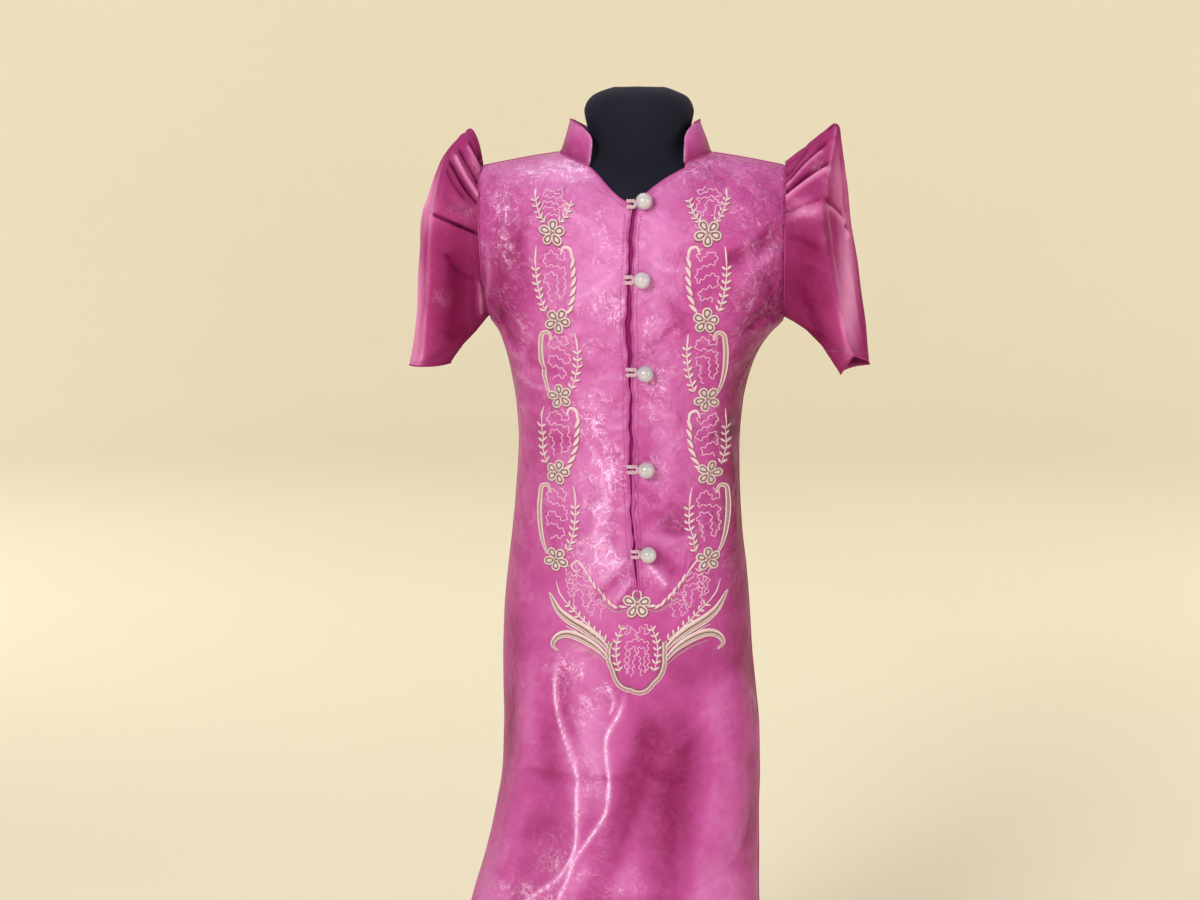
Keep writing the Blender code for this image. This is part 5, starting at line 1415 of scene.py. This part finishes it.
def build_embroidery():
    """Two mirrored bands of flowers and ovals, and a medallion below the slit."""
    left_x, right_x = seen([552, 558, 560, 558, 556], [233, 321, 396, 472, 559]), seen([708, 706, 707, 709, 708], [233, 321, 399, 473, 559])
    for band, inward in ((left_x, 1), (right_x, -1)):
        for k, (x, z) in enumerate(band):
            flower(x, z, 12.2 - 0.3 * k, math.radians((18, 62, 30, 75, 50)[k] * inward))
        # the top: two sprigs open upward from the first flower
        x, z = band[0]
        sprig([(x - 6 * inward, z + 9), (x - 12 * inward, z + 17), (x - 16 * inward, z + 31)], 4.8, 0.05, 5.0)
        sprig([(x + 6 * inward, z + 9), (x + 12 * inward, z + 16), (x + 16.5 * inward, z + 28)], 4.8, 0.05, 5.0)
        leaf("cream", x - 16 * inward, z + 30, math.radians(85 if inward > 0 else 95), 8, 2.2)
        meander(x, z + 38, z + 13, 12, 3 if inward > 0 else 6, width=1.0)
        for k in range(4):
            (xa, za), (xb, zb) = band[k], band[k + 1]
            tall = za - zb
            leafy = -inward if k % 2 == 0 else inward
            half = 16.6

            def arc(side, first, last, wide=half):
                out = []
                for t in np.linspace(first, last, 9):
                    swell = math.sin(math.pi * min(1.0, 0.14 + 0.84 * t)) ** 0.42 if t < 0.97 else 0.45
                    middle = xa + (xb - xa) * t
                    out.append((middle + side * wide * swell, za - tall * t))
                return out

            sprig(arc(leafy, 0.34, 0.90)[::-1], 5.6, 0.04)
            p = arc(leafy, 0.15, 0.36)
            stroke("cream", rounded(p, 6), [0.8, 2.0, 1.4], 0.7)
            far = arc(-leafy, 0.20, 0.95)
            hook = [(far[0][0] + leafy * 9.0, far[0][1] - 3.5), (far[0][0] + leafy * 6.5, far[0][1] + 2.8),
                    (far[0][0] + leafy * 2.2, far[0][1] + 2.6)]
            if k % 2 == 0:
                stroke("cream", rounded(hook + far[:2], 6), [1.4, 2.4, 3.2, 3.0, 1.6], 0.9)
                rope(far[1:], 11.0, 0.42 * leafy, 8.0)
            else:
                ribbon(hook + far, 3.4)
            seed = 20 + 10 * k + (0 if inward > 0 else 5)
            meander(xa + (xb - xa) * 0.5, za - tall * 0.17, zb + tall * 0.18, 11.5, seed + k % 2)
    # the medallion, the same on both sides of its middle
    cx, cz = seen(637, 604)
    flower(cx, cz, 12.8, math.radians(90))
    for side in (-1, 1):
        def at(points):
            return [(cx + side * px, cz + pz) for px, pz in points]

        rope(at([(10, -2), (18, -3), (27, 4), (36, 14), (43, 24)]), 8.6, 0.30 * side, 6.4)
        stroke("gold", rounded(at([(9, -5), (18, -7), (27, -2), (34, 6)]), 6), [0.8, 1.6, 0.9], 0.5)
        stroke("cream", rounded(at([(42, 22), (47, 30), (53, 36), (58, 31), (54, 26), (50, 29)]), 8), [1.2, 1.9, 1.7, 1.0], 0.7)
        sprig(at([(27, -32), (40, -22), (54, -9), (64, 0)]), 5.2, 0.02)
        stroke("cream", rounded(at([(63, -1), (69, 7), (72, 17)]), 6), [1.2, 1.5, 0.6], 0.6)
        frond(at([(23, -44), (32, -33), (45, -24), (60, -16), (70, -8), (78, 6)]), 8.6)
        stroke("cream", rounded(at([(26, -46), (38, -35), (52, -27), (63, -22)]), 8), [0.7, 1.3, 0.6], 0.5)
        frond(at([(23, -53), (33, -41), (46, -33), (60, -29), (70, -32), (75, -40), (70, -45)]), 7.6)
        stroke("gold", rounded(at([(24, -56), (36, -46), (50, -39), (62, -36)]), 8), [0.7, 1.5, 0.7], 0.5)
        stroke("cream", rounded(at([(24, -49), (35, -38), (46, -31), (56, -27)]), 8), [0.5, 1.0, 0.5], 0.6, 0.1)
        sprig(at([(15, -60), (18, -46), (17, -32), (12, -19)]), 5.0, 0.04)
        meander(cx + side * 50, cz + 26, cz - 8, 12, 61 + side, width=1.0)
        meander(cx + side * 36, cz + 10, cz - 14, 9, 71 + side, width=0.9)
        meander(cx + side * 58, cz + 34, cz + 2, 6, 81 + side, width=0.9)
        meander(cx + side * 5.5, cz - 17, cz - 66, 5.5, 91 + side, width=1.0)
    # the medallion's bowl in layered lines; its shade line is a painted shadow in darker thread
    for kind, out, thick, high in (("shade", -1.5, 1.6, 0.3), ("taupe", -1.3, 0.9, 0.5), ("cream", 0.0, 1.5, 0.8),
                                   ("gold", 1.5, 1.5, 0.5), ("cream", 2.8, 0.9, 0.7)):
        turns = np.linspace(math.radians(160), math.radians(380), 60)
        bump = 1 + 0.06 * np.abs(np.sin(3.5 * turns))
        bowl = [(cx + (22.5 + out) * math.cos(a) * b, cz - 45 + (31 + out) * math.sin(a) * b) for a, b in zip(turns, bump)]
        stroke(kind, bowl, thick, high)
    for name, shade, slot in (("cream", CREAM, "pink_satin"), ("taupe", TAUPE, "pink_satin"),
                              ("gold", GOLD, "pink_satin"), ("pink", PALE, "pink_satin"), ("shade", SHADOW_THREAD, "pink_satin")):
        THREAD[name].build("embroidery_" + name, shade)


def stitches(bundle, points, pitch=3.3, length=2.1, radius=0.27):
    """Short dashes of thread along a line."""
    p = even(points, 0.35)
    step, run = max(1, int(round(pitch / 0.35))), max(2, int(round(length / 0.35)))
    for k in range(0, len(p) - run, step):
        a, b = p[k], p[k + run]
        q = np.array([a, a * 0.7 + b * 0.3, a * 0.3 + b * 0.7, b])
        pts, faces, uv = tube(q, [radius * 0.5, radius, radius, radius * 0.5], 5)
        bundle.add(pts, faces, uv)


def lifted(side, u, z, rise, lift):
    fold = crease if side == 3 else back_fold
    p = panel_points(side, np.atleast_2d(u), np.atleast_2d(z), np.atleast_2d(rise),
                     lambda x, h: (fold(x, h)[0] + lift,))[0]
    return p.reshape(-1, 3)


def build_stitching(sleeves, collar):
    thread, welt, turned = Bundle(), Bundle(), Bundle()
    ring_u = np.linspace(-0.985, 0.985, 420)
    for side in (3, 4):
        for z in (74.0,):
            stitches(thread, lifted(side, ring_u, np.full(ring_u.shape, z), np.zeros(ring_u.shape), 0.15), 3.4)
    for edge, way in ((SLIT_L, -1), (SLIT_R, 1)):
        z = np.linspace(560, 905, 200)
        ease = np.clip((z - 566) / 50, 0, 1)
        p, _ = on_front(read(edge, z) + ease * slit_swing(z, way < 0) + way * 4.0 + 0.5 * np.sin(z / 9 + way), z, 0.12)
        stitches(thread, p)
    z = np.linspace(572, 909, 300)
    for left in (True, False):
        inward = -0.6 if left else 0.6
        p, _ = on_front(slit_edge(z, left) + inward, z, 0.1)
        ruffle = 0 if left else 0.5 * np.exp(-((z - 652) / 45) ** 2) * (1 + np.sin(z / 2.3 + 1.4 * np.sin(z / 11)))
        turned.add(*tube(p, 0.95 + 0.2 * np.sin(z / 7 + inward) + ruffle, 8))
    # the V neckline's turned edge and its stitches
    for xs in (np.linspace(-35.5, 2.2, 60), np.linspace(7.6, 45.5, 60)):
        ends = np.array([top_edge(3, x) for x in xs])
        p = lifted(3, ends[:, 0], np.full(len(xs), CHEST_Z), ends[:, 1] * 0.997, -0.25)
        turned.add(*tube(p, 0.95, 8))
        p = lifted(3, ends[:, 0], np.full(len(xs), CHEST_Z), ends[:, 1] - 0.055, 0.12)
        stitches(thread, p)
    # side and shoulder seams
    for way in (-1, 1):
        z = np.linspace(60.5, ARMPIT_Z, 220)
        p = surface(3, np.full(z.shape, float(way)), z, np.zeros(z.shape))
        p[:, 1] = 0
        welt.add(*tube(p, 0.75, 7))
        lo, hi = (-133, -66.5) if way < 0 else (69.5, 132)
        xs = np.linspace(lo, hi, 60)
        p = np.stack([xs, np.zeros(60), shoulder_z(xs) + 0.05], -1)
        welt.add(*tube(p, 0.8, 7))
        rise = np.linspace(0.02, math.pi / 2 - 0.03, 40)
        low = np.linspace(ARMPIT_Z + 1, CHEST_Z, 50)
        for side in (3, 4):
            a = surface(side, np.full(50, float(way)), low, np.zeros(50))
            b = surface(side, np.full(40, float(way)), np.full(40, CHEST_Z), rise)
            p = np.vstack([a, b])
            p[:, 0] += way * 0.2
            welt.add(*tube(p, 0.8, 7))
    # the collar's foot and top edge
    for row, radius in ((0, 0.9), (-1, 0.8)):
        welt.add(*tube(collar[row] - np.array([0, 0, 0.2]), radius, 8))
    for p, n in sleeves:
        for row in (-7,):
            line = p[row] + n[row] * 0.12
            stitches(thread, line[2:-2], 3.2)
        hem = p[-1]
        welt.add(*tube(hem[1:-1], 0.8, 7))
    thread.build("dress_stitching", SELF)
    turned.build("dress_turned_edges", PINK)
    piece = welt.build("dress_welts", SLEEVE_SATIN_PAINTED_SHADING)
    return piece


def ball(bundle, centre, radius, n=48, m=24):
    pts, faces = [], []
    for i in range(1, m):
        lat = -math.pi / 2 + math.pi * i / m
        for k in range(n):
            w = 2 * math.pi * k / n
            pts.append(centre + radius * np.array([math.cos(lat) * math.cos(w), math.cos(lat) * math.sin(w), math.sin(lat)]))
    for i in range(m - 2):
        for k in range(n):
            faces.append((i * n + k, i * n + (k + 1) % n, (i + 1) * n + (k + 1) % n, (i + 1) * n + k))
    pts += [centre - np.array([0, 0, radius]), centre + np.array([0, 0, radius])]
    low, high = len(pts) - 2, len(pts) - 1
    last = (m - 2) * n
    for k in range(n):
        faces.append((low, (k + 1) % n, k))
        faces.append((high, last + k, last + (k + 1) % n))
    bundle.add(pts, faces)


#   x, z of each pearl
BUTTONS = [(13.0, 912.5), (12.0, 848.7), (14.0, 769.2), (14.7, 684.0), (16.7, 610.2)]


def build_fastening():
    for number, (x, z) in enumerate(BUTTONS, 1):
        foot, n = on_front(np.array([x]), np.array([z]))
        base = np.array([x, float(front_y(x, z)), z])
        foot, n = foot[0], n[0]
        centre = base + n * 7.6
        bead = Bundle()
        ball(bead, centre, 7.2)
        # a raised collar where the shank leaves the bead
        ring = []
        side = np.cross(n, [0, 0, 1.0])
        side /= np.linalg.norm(side)
        up = np.cross(side, n)
        for w in np.linspace(0, 2 * math.pi, 25):
            ring.append(centre - n * 6.7 + (side * math.cos(w) + up * math.sin(w)) * 2.3)
        bead.add(*tube(ring, 0.5, 6, closed=True))
        bead.build(f"pearl_{number}", PEARL, f"button_{number}", "pearl")
        left = float(read(SLIT_L, min(z, CHEST_Z))) - 0.5
        stop = centre[0] - 7.2 - 0.2
        half = 2.4
        left += 0.6 + float(slit_swing(z, True))
        path = [(s, z + half) for s in (left - 1.2, left + 2, (left + stop) / 2, stop - 1.5)]
        for k in range(1, 6):
            a = math.pi / 2 - math.pi * k / 6
            path.append((stop - 1.5 + half * 0.7 * math.cos(a), z + half * math.sin(a)))
        path += [(s, z - half) for s in (stop - 1.5, (left + stop) / 2, left + 2, left - 1.2)]
        line = even(rounded(path, 6), 0.45)
        p, normals = on_front(line[:, 0], line[:, 1], 1.5)
        tangent = np.gradient(p, axis=0)
        tangent /= np.linalg.norm(tangent, axis=1, keepdims=True)
        across = np.cross(normals, tangent)
        run = np.concatenate([[0], np.cumsum(np.linalg.norm(np.diff(p, axis=0), axis=1))])
        cord = Bundle()
        for strand in range(2):
            w = run / 5.0 * 2 * math.pi + strand * math.pi
            q = p + across * (0.84 * np.cos(w))[:, None] + normals * (0.66 * np.sin(w))[:, None]
            cord.add(*tube(q, 1.0, 8))
        cord.build(f"cord_loop_{number}", CORD, f"loop_{number}", "pink_cord")
        shank = Bundle()
        shank.add(*tube([foot - n * 1.0, foot, base + n * 1.2, base + n * 1.9], [1.6, 1.5, 1.3, 1.2], 10))
        shank.build(f"pearl_shank_{number}", PALE)


def lathe(name, profile, material, node, sides=96):
    pts, faces = [], []
    for z, r in profile:
        for k in range(sides):
            w = 2 * math.pi * k / sides
            pts.append((r * math.cos(w), r * math.sin(w), z))
    for i in range(len(profile) - 1):
        for k in range(sides):
            m = (k + 1) % sides
            faces.append((i * sides + k, i * sides + m, (i + 1) * sides + m, (i + 1) * sides + k))
    faces.append(tuple(range(sides - 1, -1, -1)))
    faces.append(tuple(range((len(profile) - 1) * sides, len(profile) * sides)))
    thing = make_mesh(name, pts, faces, material, sharp=35)
    return place(thing, node) if node else thing


def build_form():
    import bmesh
    cad = nodes["form_torso"]
    mesh = cad.data.copy()
    work = bmesh.new()
    work.from_mesh(mesh)
    bmesh.ops.remove_doubles(work, verts=work.verts, dist=0.00002)
    bmesh.ops.dissolve_limit(work, angle_limit=0.0005, verts=work.verts, edges=work.edges)
    bmesh.ops.recalc_face_normals(work, faces=work.faces)
    work.to_mesh(mesh)
    work.free()
    mesh.name = "form_body"
    body = bpy.data.objects.new("form_body", mesh)
    bpy.context.scene.collection.objects.link(body)
    mesh.materials.clear()
    mesh.materials.append(JERSEY)
    for f in mesh.polygons:
        f.use_smooth = True
    sub = body.modifiers.new("smooth", "SUBSURF")
    sub.levels = sub.render_levels = 1
    for _ in range(2):
        graph = bpy.context.evaluated_depsgraph_get()
        smooth = body.evaluated_get(graph).to_mesh()
        moved = [smooth.vertices[i].co.copy() for i in range(len(mesh.vertices))]
        body.evaluated_get(graph).to_mesh_clear()
        if _ == 0:
            aim = [v.co.copy() for v in mesh.vertices]
        for v, now, want in zip(mesh.vertices, moved, aim):
            if want.z > 0.955:
                v.co = v.co + (want - now)
        mesh.update()
    sub.levels = sub.render_levels = 2
    place(body, "form_torso")
    lathe("stand_pole", [(22.3, 13.2), (22.8, 14), (240, 14), (488.9, 14), (489.7, 13.4)], METAL, "form_pole", 64)
    lathe("stand_base", [(0, 147), (0.8, 148.6), (2.6, 149.8), (6, 150), (11, 150), (13.5, 149), (15.4, 146.5), (16.4, 143),
                         (17.4, 134), (18.8, 120), (20.2, 85), (21.4, 45), (21.9, 26), (22, 22)], METAL, "form_base")


front = build_front()
back = build_back()
sleeve_r, points_r, normals_r = build_sleeve("dress_sleeve_wearers_right", SLEEVE_WEARERS_RIGHT, 1.08, SLEEVE_FOLDS_R, "sleeve_wearers_right")
sleeve_l, points_l, normals_l = build_sleeve("dress_sleeve_wearers_left", SLEEVE_WEARERS_LEFT, 0.34, SLEEVE_FOLDS_L, "sleeve_wearers_left")
collar_points = build_collar()
build_underlap()
build_embroidery()
build_stitching([(points_r, normals_r), (points_l, normals_l)], collar_points)
build_fastening()
build_form()

# the floor turns up far away, so no view sees its edge


def floor_material():
    m = Nodes("studio_floor")
    tone = m.ramp(m.noise(0.7, 3.0), [(0.3, (0.93, 0.865, 0.70)), (0.7, (0.95, 0.89, 0.735))])
    m.link(tone, m.shader.inputs["Base Color"])
    m.link(m.bump(m.noise(40.0, 3.0), 0.05, 0.002), m.shader.inputs["Normal"])
    m.set(Roughness=0.75, Specular_IOR_Level=0.2)
    return m.material


def build_floor():
    profile = [(0.0, 1)]
    for r in (2000, 5000):
        profile.append((0.0, r))
    for k in range(1, 13):
        a = math.pi / 2 * k / 12
        profile.append((2600 * (1 - math.cos(a)), 5000 + 2600 * math.sin(a)))
    profile.append((7000, 7600))
    sides = 96
    pts, faces = [], []
    for z, r in profile:
        for k in range(sides):
            w = 2 * math.pi * k / sides
            pts.append((r * math.cos(w), r * math.sin(w), z))
    for i in range(len(profile) - 1):
        for k in range(sides):
            m = (k + 1) % sides
            faces.append((i * sides + k, (i + 1) * sides + k, (i + 1) * sides + m, i * sides + m))
    faces.append(tuple(range(sides)))
    thing = make_mesh("studio_floor", pts, faces, floor_material())


build_floor()


def area_light(name, place_at, aim, size, power, colour):
    data = bpy.data.lights.new(name, "AREA")
    data.shape = "DISK"
    data.size = size
    data.energy = power
    data.color = colour
    lamp = bpy.data.objects.new(name, data)
    bpy.context.scene.collection.objects.link(lamp)
    lamp.location = place_at
    way = Vector(aim) - Vector(place_at)
    lamp.rotation_mode = "QUATERNION"
    lamp.rotation_quaternion = way.to_track_quat("-Z", "Y")
    return lamp


area_light("key", (-1.1, -2.9, 1.9), (0, 0, 0.7), 0.9, 70, (1.0, 0.98, 0.95))
area_light("fill", (2.6, -1.6, 1.2), (0, 0, 0.7), 1.6, 24, (1.0, 0.96, 0.97))
area_light("top", (-0.4, 0.8, 3.0), (0, 0, 0.7), 2.0, 20, (1.0, 0.98, 0.95))
for way in (-1, 1):
    backdrop = area_light("backdrop", (way * 3.0, 1.8, 2.2), (way * 2.2, 7.5, 0.6), 3.0, 62, (1.0, 0.97, 0.90))
    backdrop.visible_camera = False
world = bpy.data.worlds.new("studio")
bpy.context.scene.world = world
world.use_nodes = True
world.node_tree.nodes["Background"].inputs["Color"].default_value = (1.0, 0.985, 0.95, 1)
world.node_tree.nodes["Background"].inputs["Strength"].default_value = 0.42
bpy.context.scene.view_settings.view_transform = "Standard"


def declare(piece, flat, area=None):
    real = sum(p.area for p in piece.data.polygons)
    print("sheet", piece.name, "cloth", round(real, 4), "flat", flat, "share", round((area or flat[0] * flat[1]) / real, 3))


declare(front, (0.36, 0.94), 0.302)
declare(back, (0.36, 0.94), 0.302)
declare(sleeve_r, (0.36, 0.24), 0.062)
declare(sleeve_l, (0.36, 0.24), 0.062)
declare(bpy.data.objects["dress_collar"], (0.34, 0.03), 0.0084)
declare(bpy.data.objects["dress_underlap"], (0.028, 0.38), 0.0106)
